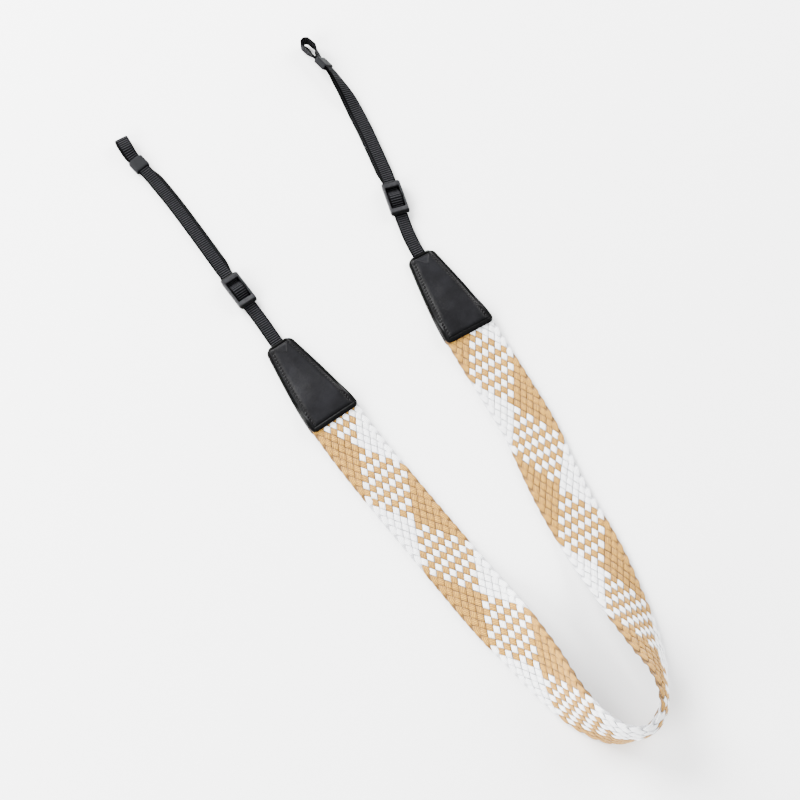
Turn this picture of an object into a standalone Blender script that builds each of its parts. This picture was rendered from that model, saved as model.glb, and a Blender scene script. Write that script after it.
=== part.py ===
"""Neck strap with a flat braided band, two leather tabs and two adjustable webbing ends.

Metres, +Z up. The strap lies on a surface in a long U: the turn is at low Y, the two ends at high Y.
Both arms lie flat with the pattern up. In the turn the band stands on its outer edge, pattern outward,
and its inner edge curls over. The origin is at the middle of the strap's foot print, on the surface.
"""
from collections import namedtuple
import math

import bpy
import numpy as np

# Clearances between pieces that touch on the real strap
GAP = 0.0003
HEM_GAP = 0.0004

# Woven band
BAND_LENGTH = 0.6406
BAND_WIDTH = 0.0385
BAND_THICKNESS = 0.003
BAND_TUCK = 0.014
BAND_NARROWING_START = 0.003
BAND_NARROWED = 0.009
BAND_RISE_LENGTH = 0.030
CURL_POWER = 3.0

# Leather tabs
TAB_LENGTH = 0.073
TAB_OVERLAP = 0.002
TAB_END_MARGIN = 0.0054
TAB_BOW = 0.0016
TAB_BOW_SKEW = 0.7
TAB_CORNER_RADIUS = 0.004
LEATHER_THICKNESS = 0.0013
HEM_WIDTH = 0.0018
HEM_RISE = 0.0026
HEM_CLOSING_LENGTH = 0.007
TAB_CROWN = 0.0006

# Webbing
WEBBING_WIDTH = 0.010
WEBBING_THICKNESS = 0.0012
WEBBING_TUCK = 0.022
WEBBING_SQUEEZE = 0.0003
NECK_LENGTH = 0.010
TAIL_SHIFT = 0.0018
TAIL_SHIFT_RAMP = 0.014
TAIL_OVERHANG = 0.0015
LOOP_REACH = 0.026
LOOP_CLEAR_HEIGHT = 0.0058
LOOP_STRAIGHT = 0.0055

# Sliders
SLIDER_DISTANCE = 0.050
SLIDER_THICKNESS = 0.004
SLIDER_RAIL = 0.0016
SLIDER_END_BAR = 0.0053
SLIDER_WINDOW_LENGTH = 0.0177
SLIDER_SIDE_CLEARANCE = 0.00035
SLIDER_BEVEL = 0.0008
BAR_WIDTH = 0.0022
BAR_THICKNESS = 0.0014
BAR_BEVEL = 0.0006
BAR_CLEARANCE = 0.0006

# Keepers
KEEPER_DISTANCE = 0.180
KEEPER_LENGTH = 0.010
KEEPER_WALL = 0.0009
KEEPER_SIDE_CLEARANCE = 0.0003
KEEPER_BEVEL = 0.0005
KEEPER_RAMP = 0.018
ROLL_LENGTH = 0.050

# Route of the band. Heading is the way it travels, in degrees from +X, from the left tab to the right one.
# Lean is how steeply the band falls from its inner to its outer edge, in degrees, at each of those edges.
BandRow = namedtuple("BandRow", "share heading outer_lean inner_lean")
BAND_ROUTE = (
    BandRow(0.000, -86, 0, 0),
    BandRow(0.080, -83.5, 0, 0),
    BandRow(0.192, -82.5, 0, 0),
    BandRow(0.242, -83, 4, 5),
    BandRow(0.282, -83, 14, 21),
    BandRow(0.323, -85, 33, 40),
    BandRow(0.353, -86, 44, 42),
    BandRow(0.393, -84, 62, 54),
    BandRow(0.424, -73, 76, 50),
    BandRow(0.454, -55, 89, 50),
    BandRow(0.474, -30, 100, 48),
    BandRow(0.494, 2, 112, 40),
    BandRow(0.514, 32, 107, 38),
    BandRow(0.535, 53.5, 97, 31),
    BandRow(0.565, 72.5, 76, 26),
    BandRow(0.595, 83.5, 58, 14),
    BandRow(0.635, 85.5, 38, 13),
    BandRow(0.676, 83.5, 21, 8),
    BandRow(0.706, 84.5, 8, 3),
    BandRow(0.746, 86.5, 1, 0),
    BandRow(0.787, 83.5, 0, 0),
    BandRow(0.837, 80.5, 0, 0),
    BandRow(0.887, 87, 0, 0),
    BandRow(0.927, 88, 0, 0),
    BandRow(1.000, 88, 0, 0),
)

# Slider and keeper are at shares of their usual distances from the tab's end.
# Headings are in degrees from the heading at which the band leaves its tab, and the webbing leaves it by
# the neck. Turns between slider and keeper are at shares of that stretch. Rolls are how far the webbing
# lifts its left edge, in degrees.
TurnRow = namedtuple("TurnRow", "share turn")
Side = namedtuple(
    "Side", "name inward slider_share keeper_share tab neck slider turns keeper loop keeper_roll loop_roll",
)
SIDES = (
    Side(
        "left", 1, 1.010, 1.008, tab=1, neck=-2, slider=1,
        turns=(TurnRow(0.12, -0.5), TurnRow(0.50, 0), TurnRow(0.80, 3)),
        keeper=7, loop=-4, keeper_roll=0, loop_roll=0,
    ),
    Side(
        "right", -1, 0.990, 0.989, tab=1, neck=-4.5, slider=-11.5,
        turns=(TurnRow(0.15, -7.5), TurnRow(0.35, -7), TurnRow(0.60, -3), TurnRow(0.80, 4)),
        keeper=13, loop=17, keeper_roll=50, loop_roll=90,
    ),
)

# Mesh density
BAND_STEPS = 124
TUCK_STEPS = 4
BAND_COLUMNS = 6
TAB_STEPS = 14
TAB_COLUMNS = 14
STRAIGHT_STEP = 0.007
BEND_STEP = 0.0011
LOOP_STEP = math.radians(15)
KEEPER_RAMP_STEPS = 5
EDGE_SEGMENTS = 2
SHARP_ANGLE = math.radians(40)

# How finely routes and the band's section are added up
ROUTE_STEP = 0.0005
SECTION_STRIPS = 24

# What follows from the sizes above
LAYER_PITCH = WEBBING_THICKNESS + GAP
LOWER_LEVEL = WEBBING_THICKNESS / 2
UPPER_LEVEL = LOWER_LEVEL + LAYER_PITCH
TAB_MOUTH_HALF = BAND_WIDTH / 2
TAB_END_HALF = WEBBING_WIDTH / 2 + TAB_END_MARGIN
TAB_END = TAB_LENGTH - TAB_OVERLAP
TAB_ROOM_AT_BAND = BAND_THICKNESS / 2 + GAP
TAB_ROOM_AT_WEBBING = WEBBING_THICKNESS / 2 + GAP
TAB_LEVEL_AT_BAND = TAB_ROOM_AT_BAND + LEATHER_THICKNESS
TAB_LEVEL_AT_WEBBING = TAB_ROOM_AT_WEBBING + LEATHER_THICKNESS
SLIDER_LENGTH = SLIDER_WINDOW_LENGTH + 2 * SLIDER_END_BAR
SLIDER_WINDOW_WIDTH = WEBBING_WIDTH + 2 * SLIDER_SIDE_CLEARANCE
SLIDER_WIDTH = SLIDER_WINDOW_WIDTH + 2 * SLIDER_RAIL
SLIDER_BOTTOM = UPPER_LEVEL + WEBBING_THICKNESS / 2 + GAP
DOME_RISE = SLIDER_BOTTOM + BAR_THICKNESS + BAR_CLEARANCE + WEBBING_THICKNESS / 2 + LAYER_PITCH - UPPER_LEVEL
DOME_HALF_LENGTH = SLIDER_WINDOW_LENGTH / 2
KEEPER_LIFT = KEEPER_WALL + GAP
KEEPER_HOLLOW_HEIGHT = 2 * WEBBING_THICKNESS + 3 * GAP
KEEPER_HOLLOW_WIDTH = WEBBING_WIDTH - 2 * WEBBING_SQUEEZE + 2 * KEEPER_SIDE_CLEARANCE
KEEPER_HALF_WIDTH = KEEPER_HOLLOW_WIDTH / 2 + KEEPER_WALL
LOOP_RADIUS = (LOOP_CLEAR_HEIGHT + WEBBING_THICKNESS) / 2
LOOP_TOP_LEVEL = LOWER_LEVEL + 2 * LOOP_RADIUS


def smoothstep(value):
    """Rise from 0 to 1 with level ends."""
    value = np.clip(value, 0.0, 1.0)
    return value * value * (3 - 2 * value)


def smooth_curve(stations, values, wanted):
    """Read a smooth curve through the given values that never overshoots them."""
    stations = np.asarray(stations, float)
    values = np.asarray(values, float)
    spans = np.diff(stations)
    rises = np.diff(values) / spans
    slopes = np.zeros(len(stations))
    slopes[0] = rises[0]
    slopes[-1] = rises[-1]
    for i in range(1, len(stations) - 1):
        if rises[i - 1] * rises[i] > 0:
            slopes[i] = 2 * rises[i - 1] * rises[i] / (rises[i - 1] + rises[i])
    wanted = np.clip(wanted, stations[0], stations[-1])
    i = np.clip(np.searchsorted(stations, wanted, side="right") - 1, 0, len(spans) - 1)
    t = (wanted - stations[i]) / spans[i]
    start = (1 + 2 * t) * (1 - t) ** 2 * values[i]
    end = t * t * (3 - 2 * t) * values[i + 1]
    leave = t * (1 - t) ** 2 * spans[i] * slopes[i]
    arrive = t * t * (t - 1) * spans[i] * slopes[i + 1]
    return start + end + leave + arrive


def read_column(rows, column, wanted):
    """Read one named column of a table at the wanted shares."""
    return smooth_curve([row.share for row in rows], [getattr(row, column) for row in rows], wanted)


class Route:
    """A line on the surface: where a distance along it lies, which way it heads and how it rolls there."""

    def __init__(self, stations, headings, start, roll_stations=(0.0, 1.0), rolls=(0.0, 0.0)):
        count = int(math.ceil((stations[-1] - stations[0]) / ROUTE_STEP))
        self.distance = np.linspace(stations[0], stations[-1], count + 1)
        self.heading = np.radians(smooth_curve(stations, headings, self.distance))
        middle = (self.heading[1:] + self.heading[:-1]) / 2
        steps = np.diff(self.distance)
        x = np.concatenate(([0.0], np.cumsum(np.cos(middle) * steps)))
        y = np.concatenate(([0.0], np.cumsum(np.sin(middle) * steps)))
        self.x = x - np.interp(0.0, self.distance, x) + start[0]
        self.y = y - np.interp(0.0, self.distance, y) + start[1]
        self.roll = np.radians(smooth_curve(roll_stations, rolls, self.distance))

    def heading_at(self, along):
        return np.interp(along, self.distance, self.heading)

    def roll_at(self, along):
        return np.interp(along, self.distance, self.roll)

    def place(self, along, side, height):
        """Points at distances along the route, to its right side, at heights above the surface.

        Where the route rolls, the section turns left edge up and is lifted to stand on its right edge.
        """
        heading = self.heading_at(along)
        roll = self.roll_at(along)
        sideways = side * np.cos(roll) + height * np.sin(roll)
        up = height * np.cos(roll) + (KEEPER_HALF_WIDTH - side) * np.sin(roll)
        x = np.interp(along, self.distance, self.x) + np.sin(heading) * sideways
        y = np.interp(along, self.distance, self.y) - np.cos(heading) * sideways
        return np.stack(np.broadcast_arrays(x, y, up), axis=-1)


def band_route():
    """The band's middle line from the left tab's mouth to the right one's, and into both tabs."""
    shares = np.array([row.share for row in BAND_ROUTE])
    headings = [row.heading for row in BAND_ROUTE]
    stations = np.concatenate(([-BAND_TUCK], shares * BAND_LENGTH, [BAND_LENGTH + BAND_TUCK]))
    return Route(stations, [headings[0], *headings, headings[-1]], (0.0, 0.0))


def slider_at(side):
    """The slider's distance from the tab's end."""
    return SLIDER_DISTANCE * side.slider_share


def keeper_at(side):
    """The keeper's distance from the tab's end."""
    return KEEPER_DISTANCE * side.keeper_share


def loop_centre(side):
    """The distance from the tab's end to the middle of the end loop's round end."""
    return keeper_at(side) + LOOP_REACH - WEBBING_THICKNESS / 2 - LOOP_RADIUS


def end_route(side, band):
    """One end's middle line, from its tab's mouth out to the end loop."""
    if side.name == "left":
        start = band.place(0.0, 0.0, 0.0)
        band_heading = math.degrees(band.heading_at(0.0)) + 180
    else:
        start = band.place(BAND_LENGTH, 0.0, 0.0)
        band_heading = math.degrees(band.heading_at(BAND_LENGTH))
    slider = TAB_END + slider_at(side)
    keeper = TAB_END + keeper_at(side)
    slider_out = slider + SLIDER_LENGTH / 2
    keeper_in = keeper - KEEPER_LENGTH / 2
    keeper_out = keeper + KEEPER_LENGTH / 2
    loop_straight = TAB_END + loop_centre(side) - LOOP_STRAIGHT
    between = [(slider_out + row.share * (keeper_in - slider_out), row.turn) for row in side.turns]
    tip = keeper + LOOP_REACH + WEBBING_THICKNESS
    knots = [
        (-TAB_OVERLAP, side.tab),
        (TAB_END, side.tab),
        (TAB_END + NECK_LENGTH, side.neck),
        (slider - SLIDER_LENGTH / 2, side.slider),
        (slider_out, side.slider),
        *between,
        (keeper_in, side.keeper),
        (keeper_out, side.keeper),
        (loop_straight, side.loop),
        (tip, side.loop),
    ]
    stations = [knot[0] for knot in knots]
    headings = [band_heading + knot[1] for knot in knots]
    roll_stations = [-TAB_OVERLAP, keeper_in - ROLL_LENGTH, keeper_in, keeper_out, loop_straight, tip]
    rolls = [0.0, 0.0, side.keeper_roll, side.keeper_roll, side.loop_roll, side.loop_roll]
    return Route(stations, headings, start[:2], roll_stations, rolls)


def band_section(share, across):
    """Sideways and upward place of a point of the band's middle layer.

    Across runs from 0 at the inner edge of the U to 1 at the outer edge.
    """
    outer = np.radians(read_column(BAND_ROUTE, "outer_lean", share))
    inner = np.radians(read_column(BAND_ROUTE, "inner_lean", share))
    middles = (np.arange(SECTION_STRIPS) + 0.5) / SECTION_STRIPS
    steepening = 1 - (1 - middles) ** CURL_POWER
    lean = inner[:, None] + (outer - inner)[:, None] * steepening
    strip = BAND_WIDTH / SECTION_STRIPS
    edge = np.zeros((len(share), 1))
    sideways = np.concatenate((edge, np.cumsum(np.cos(lean) * strip, axis=1)), axis=1)
    fall = np.concatenate((edge, np.cumsum(np.sin(lean) * strip, axis=1)), axis=1)
    sideways -= sideways[:, SECTION_STRIPS // 2][:, None]
    foot = BAND_THICKNESS / 2 * np.abs(np.cos(outer))
    height = fall[:, -1][:, None] - fall + foot[:, None]
    places = across * SECTION_STRIPS
    low = np.minimum(places.astype(int), SECTION_STRIPS - 1)
    part = places - low
    rows = np.arange(len(share))
    side = sideways[rows, low] * (1 - part) + sideways[rows, low + 1] * part
    up = height[rows, low] * (1 - part) + height[rows, low + 1] * part
    return side, up


def band_points(route, along, across):
    """Points of the band's middle layer, with its tucked and narrowed ends."""
    share = np.clip(along / BAND_LENGTH, 0.0, 1.0)
    side, up = band_section(share, across)
    inside = np.maximum(np.maximum(-along, along - BAND_LENGTH), 0.0)
    from_mouth = np.clip(np.minimum(along, BAND_LENGTH - along), 0.0, None)
    lift = (TAB_LEVEL_AT_BAND - BAND_THICKNESS / 2) * (1 - smoothstep(from_mouth / BAND_RISE_LENGTH))
    tucked_half = tab_half_width(TAB_OVERLAP + inside) - HEM_WIDTH - HEM_RISE - GAP
    narrowing = smoothstep((inside - BAND_NARROWING_START) / (BAND_NARROWED - BAND_NARROWING_START))
    half = BAND_WIDTH / 2 + (tucked_half - BAND_WIDTH / 2) * narrowing
    return route.place(along, side * half / (BAND_WIDTH / 2), up + lift)


def tab_half_width(from_mouth):
    """Half the tab's width between its slightly bowed sides."""
    share = np.clip(from_mouth / TAB_LENGTH, 0.0, 1.0)
    bow = TAB_BOW * np.sin(math.pi * share**TAB_BOW_SKEW)
    return TAB_MOUTH_HALF + (TAB_END_HALF - TAB_MOUTH_HALF) * share + bow


def rounded_half_width(from_mouth):
    """Half the tab's width with its four corners rounded."""
    to_end = np.minimum(from_mouth, TAB_LENGTH - from_mouth)
    missing = np.clip(TAB_CORNER_RADIUS - to_end, 0.0, TAB_CORNER_RADIUS)
    cut = TAB_CORNER_RADIUS - np.sqrt(TAB_CORNER_RADIUS**2 - missing**2)
    return tab_half_width(from_mouth) - cut


def tab_room(from_mouth):
    """Half the space between the two leathers along the tab's middle."""
    band_end = TAB_OVERLAP + BAND_TUCK
    share = smoothstep((from_mouth - band_end) / (TAB_LENGTH - WEBBING_TUCK - band_end))
    return TAB_ROOM_AT_BAND + (TAB_ROOM_AT_WEBBING - TAB_ROOM_AT_BAND) * share


def tab_points(route, along_share, across_share, front):
    """Points of a leather's outer face: the front one on top, or the back one flat on the surface."""
    eased = (1 - np.cos(along_share * math.pi)) / 2
    from_mouth = (eased + along_share) / 2 * TAB_LENGTH
    across = np.sin((across_share - 0.5) * math.pi)
    side = across * rounded_half_width(from_mouth)
    along = from_mouth - TAB_OVERLAP
    if not front:
        return route.place(along, side, 0.0)
    to_side = tab_half_width(from_mouth) - np.abs(side)
    open_share = smoothstep((to_side - HEM_WIDTH) / HEM_RISE)
    closed = smoothstep((along - BAND_NARROWED) / HEM_CLOSING_LENGTH)
    room = 2 * tab_room(from_mouth)
    room = room + (HEM_GAP - room) * (1 - open_share) * closed
    crown = TAB_CROWN * smoothstep(to_side / TAB_MOUTH_HALF) * np.sin(math.pi * from_mouth / TAB_LENGTH)
    return route.place(along, side, 2 * LEATHER_THICKNESS + room + crown)


def upper_level(along, side):
    """Height of the webbing's upper layer at a distance from the tab's end."""
    leave = smoothstep(along / (slider_at(side) - SLIDER_LENGTH / 2))
    level = TAB_LEVEL_AT_WEBBING + (UPPER_LEVEL - TAB_LEVEL_AT_WEBBING) * leave
    from_bar = np.abs(along - slider_at(side))
    dome = np.where(from_bar < DOME_HALF_LENGTH, np.cos(from_bar / DOME_HALF_LENGTH * math.pi / 2) ** 2, 0.0)
    keeper_in = keeper_at(side) - KEEPER_LENGTH / 2
    lift = smoothstep((along - keeper_in + KEEPER_RAMP) / KEEPER_RAMP)
    return level + DOME_RISE * dome + KEEPER_LIFT * lift


def spaced(start, end, step):
    """Even stations from start to end, no further apart than the step."""
    count = max(int(math.ceil(abs(end - start) / step)), 1)
    return np.linspace(start, end, count + 1)


def loop_profile(side):
    """The end loop seen from the side: up from the keeper, straight, round the end and back the same way."""
    keeper_out = keeper_at(side) + KEEPER_LENGTH / 2
    centre = loop_centre(side)
    straight = centre - LOOP_STRAIGHT
    out = np.concatenate((spaced(keeper_out, straight, BEND_STEP), [centre]))
    share = smoothstep((out - keeper_out) / (straight - keeper_out))
    start_upper = UPPER_LEVEL + KEEPER_LIFT
    start_lower = LOWER_LEVEL + KEEPER_LIFT
    upper = start_upper + (LOOP_TOP_LEVEL - start_upper) * share
    lower = start_lower + (LOWER_LEVEL - start_lower) * share
    turns = spaced(math.pi / 2, -math.pi / 2, LOOP_STEP)[1:-1]
    round_along = centre + LOOP_RADIUS * np.cos(turns)
    round_height = LOWER_LEVEL + LOOP_RADIUS + LOOP_RADIUS * np.sin(turns)
    along = np.concatenate((out[1:], round_along, out[::-1][:-1]))
    height = np.concatenate((upper[1:], round_height, lower[::-1][:-1]))
    return along, height


def webbing_profile(side):
    """The whole strip seen from the side: distances from the tab's end, heights and sideways shifts."""
    slider_in = slider_at(side) - DOME_HALF_LENGTH
    slider_out = slider_at(side) + DOME_HALF_LENGTH
    keeper_ramp = keeper_at(side) - KEEPER_LENGTH / 2 - KEEPER_RAMP
    keeper_out = keeper_at(side) + KEEPER_LENGTH / 2
    stretches = (
        spaced(-WEBBING_TUCK, slider_in, STRAIGHT_STEP),
        spaced(slider_in, slider_out, BEND_STEP),
        spaced(slider_out, keeper_ramp, STRAIGHT_STEP),
        spaced(keeper_ramp, keeper_out, KEEPER_RAMP / KEEPER_RAMP_STEPS),
    )
    main_along = np.concatenate([stretch[:-1] for stretch in stretches] + [[keeper_out]])
    main_height = upper_level(main_along, side)
    lean = np.arctan(np.gradient(main_height, main_along))
    tail_end = slider_at(side) - SLIDER_WINDOW_LENGTH / 2 - TAIL_OVERHANG
    tail = main_along >= tail_end
    tail_along = (main_along + np.sin(lean) * LAYER_PITCH)[tail][::-1]
    tail_height = (main_height - np.cos(lean) * LAYER_PITCH)[tail][::-1]
    loop_along, loop_height = loop_profile(side)
    along = np.concatenate((main_along, loop_along, tail_along))
    height = np.concatenate((main_height, loop_height, tail_height))
    ramp_in = smoothstep((tail_along - slider_at(side) - SLIDER_LENGTH / 2) / TAIL_SHIFT_RAMP)
    ramp_out = smoothstep((keeper_at(side) - KEEPER_LENGTH / 2 - tail_along) / TAIL_SHIFT_RAMP)
    tail_shift = TAIL_SHIFT * side.inward * ramp_in * ramp_out
    shift = np.concatenate((np.zeros(len(main_along) + len(loop_along)), tail_shift))
    return along, height, shift


def make_material(name, colour, roughness):
    material = bpy.data.materials.new(name)
    material.use_nodes = True
    shader = material.node_tree.nodes["Principled BSDF"]
    shader.inputs["Base Color"].default_value = (*colour, 1.0)
    shader.inputs["Roughness"].default_value = roughness
    return material


def finish(obj, name, material, frame, collection):
    """Name a piece, give it its material and hang it in the strap's frame."""
    obj.name = name
    obj.data.name = name
    obj.data.materials.clear()
    obj.data.materials.append(material)
    obj.data.shade_smooth()
    obj.data.set_sharp_from_angle(angle=SHARP_ANGLE)
    obj.parent = frame
    for other in list(obj.users_collection):
        other.objects.unlink(obj)
    collection.objects.link(obj)
    return obj


def make_sheet(steps, columns, place, thickness, offset):
    """A grid whose points are placed by a function of two shares, thickened into a solid."""
    bpy.ops.mesh.primitive_grid_add(x_subdivisions=steps, y_subdivisions=columns, size=1.0)
    obj = bpy.context.object
    flat = np.empty(len(obj.data.vertices) * 3)
    obj.data.vertices.foreach_get("co", flat)
    flat = flat.reshape(-1, 3)
    shares = np.round(flat[:, :2] + 0.5, 6)
    obj.data.vertices.foreach_set("co", place(shares[:, 0], shares[:, 1]).ravel())
    obj.data.update()
    solidify = obj.modifiers.new("Thickness", "SOLIDIFY")
    solidify.thickness = thickness
    solidify.offset = offset
    solidify.use_even_offset = True
    return obj


def make_block(name, size, bevel):
    """A box of the given size round its own origin, with rounded edges."""
    bpy.ops.mesh.primitive_cube_add(size=1.0)
    obj = bpy.context.object
    obj.name = name
    obj.scale = size
    bpy.ops.object.transform_apply(location=False, rotation=False, scale=True)
    if bevel > 0:
        rounding = obj.modifiers.new("Rounded edges", "BEVEL")
        rounding.width = bevel
        rounding.segments = EDGE_SEGMENTS
    return obj


def combine(obj, tool, operation, tools):
    """Cut a tool from a piece or join it on, and keep the tool aside as a hidden guide."""
    step = obj.modifiers.new(operation.title(), "BOOLEAN")
    step.operation = operation
    step.object = tool
    tool.hide_render = True
    tool.display_type = "WIRE"
    tool.parent = obj
    for other in list(tool.users_collection):
        other.objects.unlink(tool)
    tools.objects.link(tool)


def make_band(route):
    """The woven band, one solid from tab to tab."""
    tuck_in = np.linspace(-BAND_TUCK, 0.0, TUCK_STEPS + 1)
    shown = np.linspace(0.0, BAND_LENGTH, BAND_STEPS + 1)
    tuck_out = np.linspace(BAND_LENGTH, BAND_LENGTH + BAND_TUCK, TUCK_STEPS + 1)
    along = np.concatenate((tuck_in[:-1], shown, tuck_out[1:]))
    last = len(along) - 1

    def place(along_share, across_share):
        row = np.round(along_share * last).astype(int)
        return band_points(route, along[row], across_share)
    return make_sheet(last, BAND_COLUMNS, place, BAND_THICKNESS, 0.0)


def make_leather(route, front):
    """One leather of a tab, front or back, thickened inward from its outer face."""
    def place(along_share, across_share):
        return tab_points(route, along_share, across_share, front)
    return make_sheet(TAB_STEPS, TAB_COLUMNS, place, LEATHER_THICKNESS, 1.0 if front else -1.0)


def make_webbing(route, side):
    """One strip of webbing: tab, slider, keeper, end loop and back under itself into the slider."""
    along, height, shift = webbing_profile(side)
    last = len(along) - 1

    def place(along_share, across_share):
        row = np.round(along_share * last).astype(int)
        from_keeper = np.abs(along[row] - keeper_at(side)) - KEEPER_LENGTH / 2
        width = WEBBING_WIDTH - 2 * WEBBING_SQUEEZE * (1 - smoothstep(from_keeper / KEEPER_RAMP))
        sideways = (across_share - 0.5) * width + shift[row]
        return route.place(TAB_END + along[row], sideways, height[row])
    return make_sheet(last, 1, place, WEBBING_THICKNESS, 0.0)


def make_slider(tools):
    """A flat frame with a lower bar across its window for the webbing to pass over."""
    slider = make_block("slider", (SLIDER_WIDTH, SLIDER_LENGTH, SLIDER_THICKNESS), SLIDER_BEVEL)
    window_size = (SLIDER_WINDOW_WIDTH, SLIDER_WINDOW_LENGTH, 2 * SLIDER_THICKNESS)
    window = make_block("slider_window", window_size, 0.0)
    bar = make_block("slider_bar", (SLIDER_WINDOW_WIDTH + SLIDER_RAIL, BAR_WIDTH, BAR_THICKNESS), BAR_BEVEL)
    bar.location.z = (BAR_THICKNESS - SLIDER_THICKNESS) / 2
    combine(slider, window, "DIFFERENCE", tools)
    combine(slider, bar, "UNION", tools)
    return slider


def make_keeper(tools):
    """A short flat sleeve round both layers of webbing."""
    outer_width = KEEPER_HOLLOW_WIDTH + 2 * KEEPER_WALL
    outer_height = KEEPER_HOLLOW_HEIGHT + 2 * KEEPER_WALL
    keeper = make_block("keeper", (outer_width, KEEPER_LENGTH, outer_height), KEEPER_BEVEL)
    hollow = make_block("keeper_hollow", (KEEPER_HOLLOW_WIDTH, 2 * KEEPER_LENGTH, KEEPER_HOLLOW_HEIGHT), 0.0)
    combine(keeper, hollow, "DIFFERENCE", tools)
    return keeper


def stand_on(obj, route, along, height):
    """Set a piece on a route, its own Y along the route and rolled with it."""
    obj.location = route.place(along, 0.0, height).tolist()
    obj.rotation_euler.y = float(route.roll_at(along))
    obj.rotation_euler.z = float(route.heading_at(along)) - math.pi / 2


def centre_on_surface(frame, pieces):
    """Move the strap so that the middle of its foot print is the origin and its lowest point is at zero."""
    bpy.context.view_layer.update()
    graph = bpy.context.evaluated_depsgraph_get()
    low = np.full(3, np.inf)
    high = np.full(3, -np.inf)
    for piece in pieces:
        shown = piece.evaluated_get(graph)
        mesh = shown.to_mesh()
        points = np.array([shown.matrix_world @ vertex.co for vertex in mesh.vertices])
        low = np.minimum(low, points.min(axis=0))
        high = np.maximum(high, points.max(axis=0))
        shown.to_mesh_clear()
    middle = (low + high) / 2
    frame.location = (-middle[0], -middle[1], -low[2])
    bpy.context.view_layer.update()


def main():
    for obj in list(bpy.data.objects):
        bpy.data.objects.remove(obj, do_unlink=True)
    scene = bpy.context.scene
    strap = bpy.data.collections.new("camera_strap")
    tools = bpy.data.collections.new("tools")
    scene.collection.children.link(strap)
    scene.collection.children.link(tools)
    frame = bpy.data.objects.new("strap_frame", None)
    strap.objects.link(frame)

    woven = make_material("woven cotton", (0.78, 0.62, 0.42), 0.85)
    leather = make_material("black leather", (0.022, 0.022, 0.024), 0.45)
    nylon = make_material("black nylon webbing", (0.018, 0.018, 0.02), 0.7)
    plastic = make_material("dark grey plastic", (0.11, 0.11, 0.115), 0.5)
    rubber = make_material("dark grey rubber", (0.09, 0.09, 0.095), 0.6)

    band = band_route()
    pieces = [finish(make_band(band), "woven_band", woven, frame, strap)]
    for side in SIDES:
        route = end_route(side, band)
        slider = make_slider(tools)
        keeper = make_keeper(tools)
        made = (
            ("tab_" + side.name + "_front", make_leather(route, True), leather),
            ("tab_" + side.name + "_back", make_leather(route, False), leather),
            ("webbing_" + side.name, make_webbing(route, side), nylon),
            ("slider_" + side.name, slider, plastic),
            ("keeper_" + side.name, keeper, rubber),
        )
        for name, obj, material in made:
            pieces.append(finish(obj, name, material, frame, strap))
        stand_on(slider, route, TAB_END + slider_at(side), SLIDER_BOTTOM + SLIDER_THICKNESS / 2)
        stand_on(keeper, route, TAB_END + keeper_at(side), KEEPER_WALL + KEEPER_HOLLOW_HEIGHT / 2)
    centre_on_surface(frame, pieces)


main()
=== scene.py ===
"""Looks of a neck strap: a flat braid of fifteen strands, two leather tabs and two webbing ends.

Metres, +Z up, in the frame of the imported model. The paths and sizes below are those of the solids.
"""
from collections import namedtuple
import math

import bpy
import bmesh
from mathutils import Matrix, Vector
import numpy as np


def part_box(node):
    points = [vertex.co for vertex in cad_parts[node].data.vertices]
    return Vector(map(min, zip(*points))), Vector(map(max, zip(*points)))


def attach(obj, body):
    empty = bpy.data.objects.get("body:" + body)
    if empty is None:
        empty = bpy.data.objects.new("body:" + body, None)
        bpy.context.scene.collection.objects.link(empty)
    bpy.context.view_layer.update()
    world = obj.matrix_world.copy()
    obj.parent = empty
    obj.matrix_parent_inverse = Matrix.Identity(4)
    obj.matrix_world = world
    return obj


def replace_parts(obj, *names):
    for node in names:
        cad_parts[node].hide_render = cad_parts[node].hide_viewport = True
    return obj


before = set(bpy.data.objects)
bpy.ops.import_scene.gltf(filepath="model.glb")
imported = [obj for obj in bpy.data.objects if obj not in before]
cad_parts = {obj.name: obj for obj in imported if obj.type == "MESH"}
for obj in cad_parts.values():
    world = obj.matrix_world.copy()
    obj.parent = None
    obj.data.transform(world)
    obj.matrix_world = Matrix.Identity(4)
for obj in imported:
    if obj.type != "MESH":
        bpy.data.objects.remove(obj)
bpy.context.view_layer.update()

MM = 0.001

# Clearances between pieces that touch on the real strap
GAP = 0.0003
HEM_GAP = 0.0004

# Woven band
BAND_LENGTH = 0.6406
BAND_WIDTH = 0.0385
BAND_THICKNESS = 0.003
BAND_TUCK = 0.014
BAND_NARROWING_START = 0.003
BAND_NARROWED = 0.009
BAND_RISE_LENGTH = 0.030
CURL_POWER = 3.0

# Leather tabs
TAB_LENGTH = 0.073
TAB_OVERLAP = 0.002
TAB_END_MARGIN = 0.0054
TAB_BOW = 0.0016
TAB_BOW_SKEW = 0.7
TAB_CORNER_RADIUS = 0.004
LEATHER_THICKNESS = 0.0013
HEM_WIDTH = 0.0018
HEM_RISE = 0.0026
HEM_CLOSING_START = 0.006
HEM_CLOSING_LENGTH = 0.018
TAB_CROWN = 0.0006

# Webbing
WEBBING_WIDTH = 0.010
WEBBING_THICKNESS = 0.0012
WEBBING_TUCK = 0.022
WEBBING_SQUEEZE = 0.0003
NECK_LENGTH = 0.010
TAIL_SHIFT = 0.0018
TAIL_SHIFT_RAMP = 0.014
TAIL_OVERHANG = 0.0015
LOOP_REACH = 0.026
LOOP_CLEAR_HEIGHT = 0.0058
LOOP_STRAIGHT = 0.0055

# Sliders
SLIDER_THICKNESS = 0.004
SLIDER_RAIL = 0.0016
SLIDER_END_BAR = 0.0053
SLIDER_WINDOW_LENGTH = 0.0177
SLIDER_SIDE_CLEARANCE = 0.00035
BAR_WIDTH = 0.0022
BAR_THICKNESS = 0.0014
BAR_CLEARANCE = 0.0006

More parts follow.
